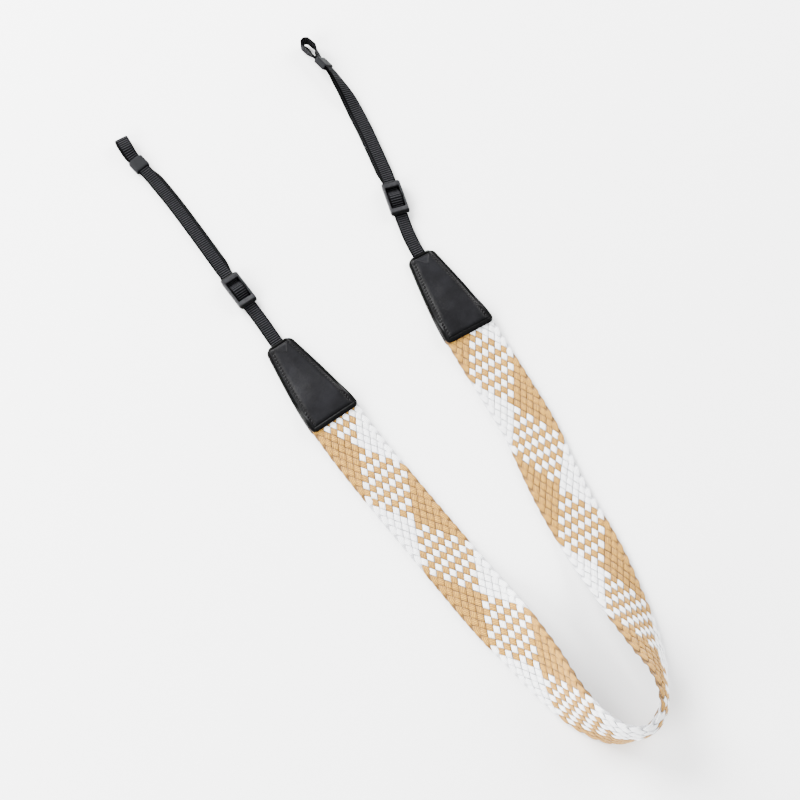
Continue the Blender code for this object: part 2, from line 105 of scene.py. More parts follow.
# Keepers
KEEPER_LENGTH = 0.010
KEEPER_WALL = 0.0009
KEEPER_SIDE_CLEARANCE = 0.0003
KEEPER_RAMP = 0.018
ROLL_LENGTH = 0.050


def table(columns, *rows):
    """A table of numbers as one array for each of its named columns."""
    return namedtuple("Table", columns)(*np.array(rows, float).T)


# Which way the band heads along its length, and how far its two edges lean, in degrees
BAND_ROUTE = table(
    "share heading outer_lean inner_lean",
    (0.000, -86, 0, 0),
    (0.080, -83.5, 0, 0),
    (0.192, -82.5, 0, 0),
    (0.242, -83, 4, 5),
    (0.282, -83, 14, 21),
    (0.323, -85, 33, 40),
    (0.353, -86, 44, 42),
    (0.393, -84, 62, 54),
    (0.424, -73, 76, 50),
    (0.454, -55, 89, 50),
    (0.474, -30, 100, 48),
    (0.494, 2, 112, 40),
    (0.514, 32, 107, 38),
    (0.535, 53.5, 97, 31),
    (0.565, 72.5, 76, 26),
    (0.595, 83.5, 58, 14),
    (0.635, 85.5, 38, 13),
    (0.676, 83.5, 21, 8),
    (0.706, 84.5, 8, 3),
    (0.746, 86.5, 1, 0),
    (0.787, 83.5, 0, 0),
    (0.837, 80.5, 0, 0),
    (0.887, 87, 0, 0),
    (0.927, 88, 0, 0),
    (1.000, 88, 0, 0),
)

# The two ends: distances of slider and keeper from the tab, then headings and rolls in degrees
Side = namedtuple(
    "Side", "name inward slider_at keeper_at tab neck slider turns keeper loop keeper_roll loop_roll",
)
SIDES = (
    Side(
        "left", 1, slider_at=0.05050, keeper_at=0.18144, tab=1, neck=-2, slider=1,
        turns=table("share turn", (0.12, -0.5), (0.50, 0), (0.80, 3)),
        keeper=7, loop=-4, keeper_roll=0, loop_roll=0,
    ),
    Side(
        "right", -1, slider_at=0.04950, keeper_at=0.17802, tab=1, neck=-4.5, slider=-11.5,
        turns=table("share turn", (0.15, -7.5), (0.35, -7), (0.60, -3), (0.80, 4)),
        keeper=13, loop=17, keeper_roll=50, loop_roll=90,
    ),
)
ROUTE_STEP = 0.0005
SECTION_STRIPS = 24

# What follows from the sizes above
LAYER_PITCH = WEBBING_THICKNESS + GAP
LOWER_LEVEL = WEBBING_THICKNESS / 2
UPPER_LEVEL = LOWER_LEVEL + LAYER_PITCH
TAB_MOUTH_HALF = BAND_WIDTH / 2
TAB_END_HALF = WEBBING_WIDTH / 2 + TAB_END_MARGIN
TAB_END = TAB_LENGTH - TAB_OVERLAP
TAB_ROOM_AT_BAND = BAND_THICKNESS / 2 + GAP
TAB_ROOM_AT_WEBBING = WEBBING_THICKNESS / 2 + GAP
TAB_LEVEL_AT_WEBBING = TAB_ROOM_AT_WEBBING + LEATHER_THICKNESS
SLIDER_LENGTH = SLIDER_WINDOW_LENGTH + 2 * SLIDER_END_BAR
SLIDER_WINDOW_WIDTH = WEBBING_WIDTH + 2 * SLIDER_SIDE_CLEARANCE
SLIDER_WIDTH = SLIDER_WINDOW_WIDTH + 2 * SLIDER_RAIL
SLIDER_BOTTOM = UPPER_LEVEL + WEBBING_THICKNESS / 2 + GAP
DOME_RISE = 2 * LAYER_PITCH + BAR_THICKNESS + BAR_CLEARANCE
DOME_HALF_LENGTH = SLIDER_WINDOW_LENGTH / 2
KEEPER_LIFT = KEEPER_WALL + GAP
KEEPER_HOLLOW_HEIGHT = 2 * WEBBING_THICKNESS + 3 * GAP
KEEPER_HALF_WIDTH = WEBBING_WIDTH / 2 - WEBBING_SQUEEZE + KEEPER_SIDE_CLEARANCE + KEEPER_WALL
LOOP_RADIUS = (LOOP_CLEAR_HEIGHT + WEBBING_THICKNESS) / 2
LOOP_TOP_LEVEL = LOWER_LEVEL + 2 * LOOP_RADIUS

# Braid: fifteen strands, over one and under one. Counts number the strands' turns at the inner edge.
STRANDS = 15
BEIGE_STRANDS = 8
BRAID_COUNTS = table(
    "share count",
    (0.0000, -6.92),
    (0.4132, 22.50),
    (0.6395, 37.50),
    (1.0000, 63.17),
)
BRAID_HIDDEN_END = 0.011
BRAID_ANGLE = math.radians(30.3)
CELL_SKEW = 0.86 / math.tan(2 * BRAID_ANGLE)
BRAID_OVERSHOOT = 0.00045
TURN_ROUNDING = 3.0
GRID_ALONG = 700
GRID_ACROSS = 41

# One strand: its size and wave, and the small irregularities of its cells
STRAND_HALF_WIDTH = 0.00221
BEIGE_WIDER = 0.00004
WHITE_NARROWER = 0.0001
STRAND_HALF_THICKNESS = 0.00068
STRAND_WAVE = 0.00072
STRAND_SQUARENESS = 3.2
STRAND_SAMPLES = (0.0, 0.3, 0.43, 0.57, 0.7)
LEVEL_WOBBLE = 0.10
SIDE_WOBBLE = 0.00009
WOBBLE_LENGTH = 97

# A strand's outline in shares of its half width, with the valleys between its yarns
TOP_PLACES = (-1.0, -0.93, -0.74, -0.5, -0.25, 0.0, 0.25, 0.5, 0.74, 0.93, 1.0)
BOTTOM_PLACES = (0.93, 0.6, 0.0, -0.6, -0.93)
STRAND_EDGE = 0.9
STRAND_FLATNESS = 4.5
STRAND_CROWN = 0.15
YARNS_PER_STRAND = 4
YARN_RELIEF = 0.28

# Painted shade on a strand: how much darker it gets in its yarn valleys, at its edges, to its sides and where
# it dives, and the painted light that lifts it where it turns at the band's edges
VALLEY_PAINTED_SHADE = 0.75
STRAND_EDGE_PAINTED_SHADE = 0.92
SIDE_PAINTED_SHADE = 0.2
DIVE_PAINTED_SHADE_TONE = 0.06
DIVE_LEVEL = -0.08
DIVE_SPAN = 1.05
TURN_PAINTED_LIGHT = 0.5
TURN_PAINTED_LIGHT_REACH = 0.0034
TEXTURE_STEP_PER_STRAND = 37
TEXTURE_HALF_WIDTH = 2

# Ribs, cords and selvedges of the webbing, with a painted highlight on its rib crests, and how it fills the
# slider's window
LINE_STEP = 0.0004
RIB_PITCH = 0.00175
RIB_STEPS = 6
RIB_DEPTH = 0.00036
RIB_BLUNTNESS = 0.7
RIB_END = 0.0002
RIB_SHINE = 3.5
CORD_COLUMNS = 9
CORD_RELIEF = 0.00002
CORD_SHADE = 0.1
SELVEDGE = 0.0009
SELVEDGE_PLACE = 0.0046
SELVEDGE_DROP = 0.00018
SELVEDGE_TONE = 0.2
EDGE_TONE = 0.25
WINDOW_FILL = 0.96
WINDOW_FILL_REACH = 0.003
WINDOW_FILL_RAMP = 0.002

# Leather details: rolled edges, rims, the raised panel and the triangle pressed in at the webbing
EDGE_ROLL = 0.0009
EDGE_ROLL_DROP = 0.00055
RIM_WIDTH = 0.0021
MOUTH_RIM_WIDTH = 0.0034
END_RIM_WIDTH = 0.0023
RIM_GROOVE_DEPTH = 0.00032
RIM_GROOVE_WIDTH = 0.0005
SIDE_GROOVE_SHARE = 0.4
END_GROOVE_MARGIN = 0.0022
END_GROOVE_RAMP = 0.001
PANEL_RISE = 0.00034
PANEL_SLOPE = 0.003
MARK_REACH = 0.0105
MARK_HALF_WIDTH = 0.0062
MARK_SHIFT = 0.0012
MARK_SLOPE = 0.0007
MARK_RISE = 0.0006
MARK_RAMP = 0.12
# Tones of the leather: a plain base, painted highlight on the raised panel and on the triangle (mark),
# painted shade in the stitch groove (stitched), the stitch holes and the cross grooves, darker rolled edges
# (roll) and rims, and the unseen inside
LeatherTones = namedtuple("LeatherTones", "plain panel roll stitched holes grooves rim mark inside")
TONES = LeatherTones(
    plain=0.5, panel=0.24, roll=-0.42, stitched=-0.32, holes=-0.6, grooves=-0.45, rim=-0.36,
    mark=0.1, inside=0.4,
)
FRONT_GRID = (210, 96)
BACK_GRID = (110, 46)
ROW_EASING = 0.6
COLUMN_EASING = 0.55

# Stitches, the valley they lie in and the holes between them
STITCH_INSET = 0.0040
STITCH_START = 0.0058
STITCH_PITCH = 0.0025
STITCH_LENGTH = 0.0017
STITCH_RADIUS = 0.00036
STITCH_SIDES = 8
STITCH_SLANT = 0.00012
STITCH_BEND_POWER = 4
STITCH_LIFT = 0.35
STITCH_SINK = 0.7
STITCH_TONE = 0.3
BACK_STITCH_SINK = 0.5
LOWEST_LEVEL = 0.00002
STITCH_REACH = 0.004
STITCH_REACH_RAMP = 0.002
STITCH_GROOVE_DEPTH = 0.0003
STITCH_GROOVE_WIDTH = 0.0007
HOLE_DEPTH = 0.0005
HOLE_SHARPNESS = 4
STITCH_RINGS = table(
    "place swell",
    (-1.0, 0.25),
    (-0.86, 0.75),
    (-0.5, 1.0),
    (0.0, 1.0),
    (0.5, 1.0),
    (0.86, 0.75),
    (1.0, 0.25),
)

# Slider details: low lips at its ends, side rails that reach down beside the webbing, and its bar; the lips
# and the bar get painted shade
SLIDER_FACET = 0.0005
SLIDER_CORNER_POINTS = 6
LIP_LENGTH = 0.0019
LIP_STEP = 0.0004
LIP_DROP = 0.0012
LIP_PAINTED_SHADE = 0.97
RAIL_DROP = 0.0018
RAIL_DROP_REACH = 0.0035
RAIL_DROP_RAMP = 0.0015
RAIL_DROP_SIDE = 0.0003
BAR_CORNER = 0.0006
BAR_CORNER_POINTS = 5
BAR_RINGS = 9
BAR_PAINTED_SHADE_TONE = 0.1
# Rows of the frame's section: inset from its outside, level as a share of its thickness, corner radius, and
# pale, which paints light on its top and painted shade on its sides, in its window and underneath
SLIDER_PROFILE = table(
    "inset level corner pale",
    (0.00, 0.30, 0.0016, 0.15),
    (0.00, 0.70, 0.0016, 0.25),
    (0.10, 0.90, 0.0015, 0.75),
    (0.30, 1.00, 0.0013, 0.95),
    (0.40, 1.00, 0.0012, 0.90),
    (0.74, 1.00, 0.0009, 0.75),
    (0.92, 0.93, 0.0007, 0.85),
    (1.00, 0.78, 0.0006, 0.30),
    (1.00, 0.22, 0.0006, 0.05),
    (0.92, 0.06, 0.0007, 0.05),
    (0.74, 0.00, 0.0009, 0.10),
    (0.26, 0.00, 0.0013, 0.10),
    (0.10, 0.08, 0.0015, 0.10),
)

# Keeper details: one end of its wall as shares of its thickness and half its length, and pale, which paints
# light on its rounded end and painted shade on its inside
KEEPER_FACET = 0.0012
KEEPER_SIDE_FACET = 0.0015
KEEPER_CORNER = 0.0014
KEEPER_CORNER_SHRINK = 0.6
KEEPER_CORNER_POINTS = 6
KEEPER_PROFILE = table(
    "inset length pale",
    (0.00, 0.86, 0.55),
    (0.14, 0.96, 0.85),
    (0.35, 1.00, 0.80),
    (0.65, 1.00, 0.50),
    (0.86, 0.96, 0.30),
    (1.00, 0.86, 0.10),
)

# Stage: floor, light and the camera at the photograph's angle
FLOOR_SIZE = 6.0
FLOOR_LEVEL = -0.0002
FLOOR_GREY = 0.93
SKY_STRENGTH = 0.5
LIGHT_SIZE = 1.6
LightRow = namedtuple("LightRow", "name place power")
LIGHTS = (
    LightRow("key", (-0.6, 1.8, 1.1), 330.0),
    LightRow("left", (-1.9, -0.4, 1.0), 190.0),
    LightRow("right", (1.9, 0.2, 1.0), 130.0),
    LightRow("front", (0.4, -1.9, 1.0), 20.0),
)
CAMERA_AZIMUTH = 31.0
CAMERA_ELEVATION = 67.0
CAMERA_DISTANCE = 1.25
CAMERA_AIM = (-0.011788, -0.000604, 0.0)
CAMERA_LENS = 80.0
SENSOR_WIDTH = 36.0

# How many stations along and across the flat back of a tab are enough to find its box
BACK_STATIONS = 15
BACK_EASING = 0.5

# Which sockets of a mix node take its factor and its two colours, and which gives the mixed colour
MIX_INPUTS = (0, 6, 7)
MIX_OUTPUT = 2

random_source = np.random.default_rng(seed=7)


def smoothstep(value):
    """Rise from 0 to 1 with level ends."""
    value = np.clip(value, 0.0, 1.0)
    return value * value * (3 - 2 * value)


def unit(vectors):
    """The same directions with length 1."""
    return vectors / np.linalg.norm(vectors, axis=-1, keepdims=True)


def running(steps):
    """The sums of steps so far along the last axis, from 0."""
    return np.concatenate((np.zeros_like(steps[..., :1]), np.cumsum(steps, axis=-1)), axis=-1)


def spaced(start, end, step):
    """Even stations from start to end, no further apart than the step."""
    count = max(int(math.ceil(abs(end - start) / step)), 1)
    return np.linspace(start, end, count + 1)


def smooth_curve(stations, values, wanted):
    """Read a smooth curve through the given values that never overshoots them."""
    stations = np.asarray(stations, float)
    values = np.asarray(values, float)
    spans = np.diff(stations)
    rises = np.diff(values) / spans
    steady = rises[:-1] * rises[1:]
    slopes = np.concatenate((rises[:1], np.zeros(len(steady)), rises[-1:]))
    np.divide(2 * steady, rises[:-1] + rises[1:], out=slopes[1:-1], where=steady > 0)
    wanted = np.clip(wanted, stations[0], stations[-1])
    i = np.clip(np.searchsorted(stations, wanted, side="right") - 1, 0, len(spans) - 1)
    t = (wanted - stations[i]) / spans[i]
    start = (1 + 2 * t) * (1 - t) ** 2 * values[i]
    end = t * t * (3 - 2 * t) * values[i + 1]
    leave = t * (1 - t) ** 2 * spans[i] * slopes[i]
    arrive = t * t * (t - 1) * spans[i] * slopes[i + 1]
    return start + end + leave + arrive


class Route:
    """A line on the surface: where a distance along it lies, which way it heads and how it rolls there."""

    def __init__(self, stations, headings, start, roll_stations=(0.0, 1.0), rolls=(0.0, 0.0)):
        self.distance = spaced(stations[0], stations[-1], ROUTE_STEP)
        self.heading = np.radians(smooth_curve(stations, headings, self.distance))
        middle = (self.heading[1:] + self.heading[:-1]) / 2
        steps = np.diff(self.distance)
        x = running(np.cos(middle) * steps)
        y = running(np.sin(middle) * steps)
        self.x = x - np.interp(0.0, self.distance, x) + start[0]
        self.y = y - np.interp(0.0, self.distance, y) + start[1]
        self.roll = np.radians(smooth_curve(roll_stations, rolls, self.distance))

    def place(self, along, side, height):
        """Points at distances along the route, to its right side, at heights above the surface."""
        heading = np.interp(along, self.distance, self.heading)
        roll = np.interp(along, self.distance, self.roll)
        sideways = side * np.cos(roll) + height * np.sin(roll)
        up = height * np.cos(roll) + (KEEPER_HALF_WIDTH - side) * np.sin(roll)
        x = np.interp(along, self.distance, self.x) + np.sin(heading) * sideways
        y = np.interp(along, self.distance, self.y) - np.cos(heading) * sideways
        return np.stack(np.broadcast_arrays(x, y, up), axis=-1)

    def place_round(self, station, points, lift):
        """Points given sideways, forward and up from a station, in their place and lifted."""
        sideways, forward, up = np.moveaxis(points, -1, 0)
        return self.place(station + forward, sideways, up + lift)


def band_route():
    """The band's middle line from the left tab's mouth to the right one's, and into both tabs."""
    headings = BAND_ROUTE.heading
    stations = np.concatenate(([-BAND_TUCK], BAND_ROUTE.share * BAND_LENGTH, [BAND_LENGTH + BAND_TUCK]))
    return Route(stations, [headings[0], *headings, headings[-1]], (0.0, 0.0))


def loop_centre(side):
    """Distance of the middle of the end loop's bend from the tab's end."""
    return side.keeper_at + LOOP_REACH - WEBBING_THICKNESS / 2 - LOOP_RADIUS


def end_route(side, band):
    """One end's middle line, from its tab's mouth out to the end loop."""
    at_start = side.name == "left"
    mouth = 0.0 if at_start else BAND_LENGTH
    start = band.place(mouth, 0.0, 0.0)
    band_heading = math.degrees(np.interp(mouth, band.distance, band.heading)) + 180 * at_start
    slider = TAB_END + side.slider_at
    keeper = TAB_END + side.keeper_at
    slider_out = slider + SLIDER_LENGTH / 2
    keeper_in = keeper - KEEPER_LENGTH / 2
    keeper_out = keeper + KEEPER_LENGTH / 2
    loop_straight = TAB_END + loop_centre(side) - LOOP_STRAIGHT
    between = zip(slider_out + side.turns.share * (keeper_in - slider_out), side.turns.turn)
    tip = keeper + LOOP_REACH + WEBBING_THICKNESS
    knots = [
        (-TAB_OVERLAP, side.tab),
        (TAB_END, side.tab),
        (TAB_END + NECK_LENGTH, side.neck),
        (slider - SLIDER_LENGTH / 2, side.slider),
        (slider_out, side.slider),
        *between,
        (keeper_in, side.keeper),
        (keeper_out, side.keeper),
        (loop_straight, side.loop),
        (tip, side.loop),
    ]
    stations, turns = np.array(knots).T
    roll_stations = [-TAB_OVERLAP, keeper_in - ROLL_LENGTH, keeper_in, keeper_out, loop_straight, tip]
    rolls = [0.0, 0.0, side.keeper_roll, side.keeper_roll, side.loop_roll, side.loop_roll]
    return Route(stations, band_heading + turns, start[:2], roll_stations, rolls)


def band_points(route, along, across):
    """The band's middle layer row by row along it, with its curl and its narrowed ends in the tabs."""
    along = along[:, None]
    share = np.clip(along / BAND_LENGTH, 0.0, 1.0)
    outer = np.radians(smooth_curve(BAND_ROUTE.share, BAND_ROUTE.outer_lean, share))
    inner = np.radians(smooth_curve(BAND_ROUTE.share, BAND_ROUTE.inner_lean, share))
    middles = (np.arange(SECTION_STRIPS) + 0.5) / SECTION_STRIPS
    steepening = 1 - (1 - middles) ** CURL_POWER
    lean = inner + (outer - inner) * steepening
    strip = BAND_WIDTH / SECTION_STRIPS
    sideways = running(np.cos(lean) * strip)
    fall = running(np.sin(lean) * strip)
    sideways -= sideways[:, SECTION_STRIPS // 2][:, None]
    height = fall[:, -1:] - fall + BAND_THICKNESS / 2 * np.abs(np.cos(outer))
    places = across * SECTION_STRIPS
    low = np.minimum(places.astype(int), SECTION_STRIPS - 1)
    part = places - low
    side, up = (edges[:, low] * (1 - part) + edges[:, low + 1] * part for edges in (sideways, height))
    inside = np.maximum(np.maximum(-along, along - BAND_LENGTH), 0.0)
    from_mouth = np.clip(np.minimum(along, BAND_LENGTH - along), 0.0, None)
    lift = (GAP + LEATHER_THICKNESS) * (1 - smoothstep(from_mouth / BAND_RISE_LENGTH))
    tucked_half = tab_half_width(TAB_OVERLAP + inside) - HEM_WIDTH - HEM_RISE - GAP
    narrowing = smoothstep((inside - BAND_NARROWING_START) / (BAND_NARROWED - BAND_NARROWING_START))
    half = BAND_WIDTH / 2 + (tucked_half - BAND_WIDTH / 2) * narrowing
    return route.place(along, side * half / (BAND_WIDTH / 2), up + lift)


def tab_half_width(from_mouth):
    """Half the tab's width between its slightly bowed sides."""
    share = np.clip(from_mouth / TAB_LENGTH, 0.0, 1.0)
    bow = TAB_BOW * np.sin(math.pi * share**TAB_BOW_SKEW)
    return TAB_MOUTH_HALF + (TAB_END_HALF - TAB_MOUTH_HALF) * share + bow


def rounded_half_width(from_mouth):
    """Half the tab's width with its four corners rounded."""
    to_end = np.minimum(from_mouth, TAB_LENGTH - from_mouth)
    missing = np.clip(TAB_CORNER_RADIUS - to_end, 0.0, TAB_CORNER_RADIUS)
    cut = TAB_CORNER_RADIUS - np.sqrt(TAB_CORNER_RADIUS**2 - missing**2)
    return tab_half_width(from_mouth) - cut


def leather_level(from_mouth, side):
    """Height of the front leather's outer face before its rims, grooves and panel."""
    to_side = tab_half_width(from_mouth) - np.abs(side)
    along = from_mouth - TAB_OVERLAP
    open_share = smoothstep((to_side - HEM_WIDTH) / HEM_RISE)
    closed = smoothstep((along - HEM_CLOSING_START) / HEM_CLOSING_LENGTH)
    band_end = TAB_OVERLAP + BAND_TUCK
    share = smoothstep((from_mouth - band_end) / (TAB_LENGTH - WEBBING_TUCK - band_end))
    room = 2 * (TAB_ROOM_AT_BAND + (TAB_ROOM_AT_WEBBING - TAB_ROOM_AT_BAND) * share)
    room = room + (HEM_GAP - room) * (1 - open_share) * closed
    crown = TAB_CROWN * smoothstep(to_side / TAB_MOUTH_HALF) * np.sin(math.pi * from_mouth / TAB_LENGTH)
    return 2 * LEATHER_THICKNESS + room + crown


def upper_level(along, side):
    """Height of the webbing's upper layer at a distance from the tab's end."""
    leave = smoothstep(along / (side.slider_at - SLIDER_LENGTH / 2))
    level = TAB_LEVEL_AT_WEBBING + (UPPER_LEVEL - TAB_LEVEL_AT_WEBBING) * leave
    from_bar = np.abs(along - side.slider_at)
    dome = np.where(from_bar < DOME_HALF_LENGTH, np.cos(from_bar / DOME_HALF_LENGTH * math.pi / 2) ** 2, 0.0)
    keeper_in = side.keeper_at - KEEPER_LENGTH / 2
    lift = smoothstep((along - keeper_in + KEEPER_RAMP) / KEEPER_RAMP)
    return level + DOME_RISE * dome + KEEPER_LIFT * lift


def webbing_line(side, step):
    """The whole strip seen from the side: distances from the tab's end, heights and sideways shifts."""
    keeper_out = side.keeper_at + KEEPER_LENGTH / 2
    centre = loop_centre(side)
    straight = centre - LOOP_STRAIGHT
    main_along = spaced(-WEBBING_TUCK, keeper_out, step)
    main_height = upper_level(main_along, side)
    lean = np.arctan(np.gradient(main_height, main_along))
    out = spaced(keeper_out, centre, step)
    share = smoothstep((out - keeper_out) / (straight - keeper_out))
    start_upper = UPPER_LEVEL + KEEPER_LIFT
    start_lower = LOWER_LEVEL + KEEPER_LIFT
    upper = start_upper + (LOOP_TOP_LEVEL - start_upper) * share
    lower = start_lower + (LOWER_LEVEL - start_lower) * share
    turns = spaced(math.pi / 2, -math.pi / 2, step / LOOP_RADIUS)[1:-1]
    round_along = centre + LOOP_RADIUS * np.cos(turns)
    round_height = LOWER_LEVEL + LOOP_RADIUS + LOOP_RADIUS * np.sin(turns)
    tail_end = side.slider_at - SLIDER_WINDOW_LENGTH / 2 - TAIL_OVERHANG
    tail = main_along >= tail_end
    tail_along = (main_along + np.sin(lean) * LAYER_PITCH)[tail][::-1]
    tail_height = (main_height - np.cos(lean) * LAYER_PITCH)[tail][::-1]
    along = np.concatenate((main_along, out[1:], round_along, out[::-1][:-1], tail_along))
    height = np.concatenate((main_height, upper[1:], round_height, lower[::-1][:-1], tail_height))
    ramp_in = smoothstep((tail_along - side.slider_at - SLIDER_LENGTH / 2) / TAIL_SHIFT_RAMP)
    ramp_out = smoothstep((side.keeper_at - KEEPER_LENGTH / 2 - tail_along) / TAIL_SHIFT_RAMP)
    tail_shift = TAIL_SHIFT * side.inward * ramp_in * ramp_out
    shift = np.concatenate((np.zeros(len(along) - len(tail_along)), tail_shift))
    return along, height, shift


class Shape:
    """Points, faces and texture places of one piece, gathered loft by loft."""

    def __init__(self):
        self.points = []
        self.faces = []
        self.crests = []
        self.wefts = []
        self.count = 0

    def loft(self, rings, crest, weft=None, closed=False):
        """Join rings of points into a skin, with flat caps unless its last ring joins its first."""
        rows, columns = rings.shape[:2]
        index = np.arange(rows * columns).reshape(rows, columns) + self.count
        if closed:
            index = np.concatenate((index, index[:1]))
        ahead = np.roll(index, -1, axis=1)
        quads = np.stack((index[:-1], ahead[:-1], ahead[1:], index[1:]), axis=-1).reshape(-1, 4)
        self.faces.extend(quads.tolist())
        if not closed:
            self.faces.append(index[0][::-1].tolist())
            self.faces.append(index[-1].tolist())
        self.points.append(rings.reshape(-1, 3))
        self.crests.append(crest.ravel())
        self.wefts.append(np.zeros((rows * columns, 2)) if weft is None else weft.reshape(-1, 2))
        self.count += rows * columns

    def make(self, name, material, sharp_degrees):
        """The finished object, riding on the strap's one body."""
        mesh = bpy.data.meshes.new(name)
        points = np.concatenate(self.points) + part_shift
        mesh.from_pydata(points.tolist(), [], self.faces)
        fine = bmesh.new()
        fine.from_mesh(mesh)
        bmesh.ops.recalc_face_normals(fine, faces=fine.faces)
        fine.to_mesh(mesh)
        fine.free()
        crest = mesh.attributes.new("crest", "FLOAT", "POINT")
        crest.data.foreach_set("value", np.concatenate(self.crests).astype(np.float32))
        corners = np.empty(len(mesh.loops), np.int32)
        mesh.loops.foreach_get("vertex_index", corners)
        uv = mesh.uv_layers.new(name="weft")
        uv.data.foreach_set("uv", np.concatenate(self.wefts)[corners].astype(np.float32).ravel())
        mesh.materials.append(material)
        mesh.shade_smooth()
        mesh.set_sharp_from_angle(angle=math.radians(sharp_degrees))
        obj = bpy.data.objects.new(name, mesh)
        bpy.context.scene.collection.objects.link(obj)
        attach(obj, "root")
        return obj


def srgb(red, green, blue):
    """A colour as seen on screen, 0 to 255, turned into the shader's linear values."""
    shares = np.array([red, green, blue]) / 255
    linear = np.where(shares <= 0.04045, shares / 12.92, ((shares + 0.055) / 1.055) ** 2.4)
    return (*linear.tolist(), 1.0)


def grey(value):
    """A grey in the shader's linear values."""
    return (value, value, value, 1.0)


class Material:
    """A principled material whose tone and relief are built up layer by layer."""

    def __init__(self, name, roughness, specular=0.5, sheen=0.0):
        self.material = bpy.data.materials.new(name)
        self.material.use_nodes = True
        self.tree = self.material.node_tree
        self.shader = self.tree.nodes["Principled BSDF"]
        self.set(self.shader, {"Roughness": roughness, "Specular IOR Level": specular, "Sheen Weight": sheen})
        self.tone = None
        self.relief = None

    def set(self, node, inputs):
        """Link sockets of a node to other ones, or set their values."""
        for key, value in inputs.items():
            if isinstance(value, bpy.types.NodeSocket):
                self.tree.links.new(value, node.inputs[key])
            else:
                node.inputs[key].default_value = value

    def add(self, kind, settings=(), **inputs):
        """A new node with its settings and with its sockets set."""
        node = self.tree.nodes.new("ShaderNode" + kind)
        for key, value in dict(settings).items():
            setattr(node, key, value)
        self.set(node, inputs)
        return node

    def ramp(self, source, *stops):
        """The colours that a value reads from stops, each a place and a colour."""
        node = self.add("ValToRGB", Fac=source)
        elements = node.color_ramp.elements
        elements[0].position, elements[0].color = stops[0]
        elements[1].position, elements[1].color = stops[-1]
        for place, colour in stops[1:-1]:
            elements.new(place).color = colour
        return node.outputs["Color"]

    def mix(self, factor, second, blend="MIX"):
        """Mix a colour into the tone."""
        node = self.add("Mix", {"data_type": "RGBA", "blend_type": blend})
        self.set(node, dict(zip(MIX_INPUTS, (factor, self.tone, second))))
        self.tone = node.outputs[MIX_OUTPUT]

    def tint(self, source, *stops):
        """Multiply the tone by the colours that a value reads from stops."""
        self.mix(1.0, self.ramp(source, *stops), "MULTIPLY")

    def noise(self, scale, detail=3.0, roughness=0.55, place=None):
        """A cloudy pattern that fills the object's space, or that of other places."""
        place = place or self.add("TexCoord").outputs["Object"]
        node = self.add("TexNoise", Vector=place, Scale=scale, Detail=detail, Roughness=roughness)
        return node.outputs["Fac"]

    def bands(self, direction, scale, distortion):
        """Fine parallel lines laid by the mesh's own texture places."""
        place = self.add("TexCoord").outputs["UV"]
        settings = {"wave_type": "BANDS", "bands_direction": direction}
        node = self.add("TexWave", settings, Vector=place, Scale=scale, Distortion=distortion, Detail=1.0)
        return node.outputs["Fac"]

    def crest_tone(self, *stops):
        """Start the tone with the colours that the mesh's crest, 0 to 1, reads from stops."""
        crest = self.add("Attribute", {"attribute_name": "crest"}).outputs["Fac"]
        self.tone = self.ramp(crest, *stops)

    def bump(self, height, distance, strength):
        """Lay a relief over the one below it."""
        node = self.add("Bump", Height=height, Distance=distance, Strength=strength)
        if self.relief is not None:
            self.set(node, {"Normal": self.relief})
        self.relief = node.outputs["Normal"]

    def finish(self):
        """The material with its finished tone and relief."""
        self.set(self.shader, {"Base Color": self.tone, "Normal": self.relief})
        return self.material


def strand_material(name, deep, middle, light, fleck, streak):
    """Soft spun cotton: painted shade where it dives, in its yarn valleys and at its edges, with streaks,
    fine flecks and the twist of its yarns.
    """
    cotton = Material(name, roughness=0.86, sheen=0.15)
    cotton.crest_tone((0.0, deep), (0.58, middle), (1.0, light))
    cotton.tint(cotton.noise(scale=220.0), (0.35, grey(0.9)), (0.65, grey(1.0)))
    place = cotton.add("TexCoord").outputs["UV"]
    drawn = cotton.add("Mapping", Vector=place, Scale=(0.38, 1.9, 1.0)).outputs["Vector"]
    streaks = cotton.noise(scale=1.0, roughness=0.6, place=drawn)
    cotton.tint(streaks, (0.38, streak), (0.53, grey(1.0)))
    flecks = cotton.ramp(cotton.noise(scale=2600.0, detail=2.0), (0.5, grey(0.0)), (0.72, grey(1.0)))
    cotton.mix(flecks, fleck)
    cotton.bump(cotton.bands("DIAGONAL", scale=1.4, distortion=1.2), distance=0.00012, strength=0.6)
    cotton.bump(cotton.noise(scale=3500.0, detail=2.0), distance=0.00008, strength=0.5)
    return cotton.finish()


def leather_material():
    """Black leather with a fine grain, soft sheen, cloudy greyer patches and a painted highlight on its
    raised panel and triangle.
    """
    leather = Material("black_leather_skin", roughness=0.34, specular=0.06)
    leather.crest_tone((0.0, srgb(0, 0, 0)), (0.55, srgb(8, 8, 9)), (1.0, srgb(24, 24, 26)))
    leather.tint(leather.noise(scale=55.0, detail=4.0), (0.35, grey(0.66)), (0.7, (1.3, 1.3, 1.34, 1.0)))
    place = leather.add("TexCoord").outputs["Object"]
    cells = leather.add("TexVoronoi", {"feature": "DISTANCE_TO_EDGE"}, Vector=place, Scale=1500.0)
    grain = leather.ramp(cells.outputs["Distance"], (0.0, grey(0.0)), (0.12, grey(1.0)))
    leather.bump(grain, distance=0.00004, strength=0.35)
    leather.bump(leather.noise(scale=260.0), distance=0.0006, strength=0.25)
    return leather.finish()


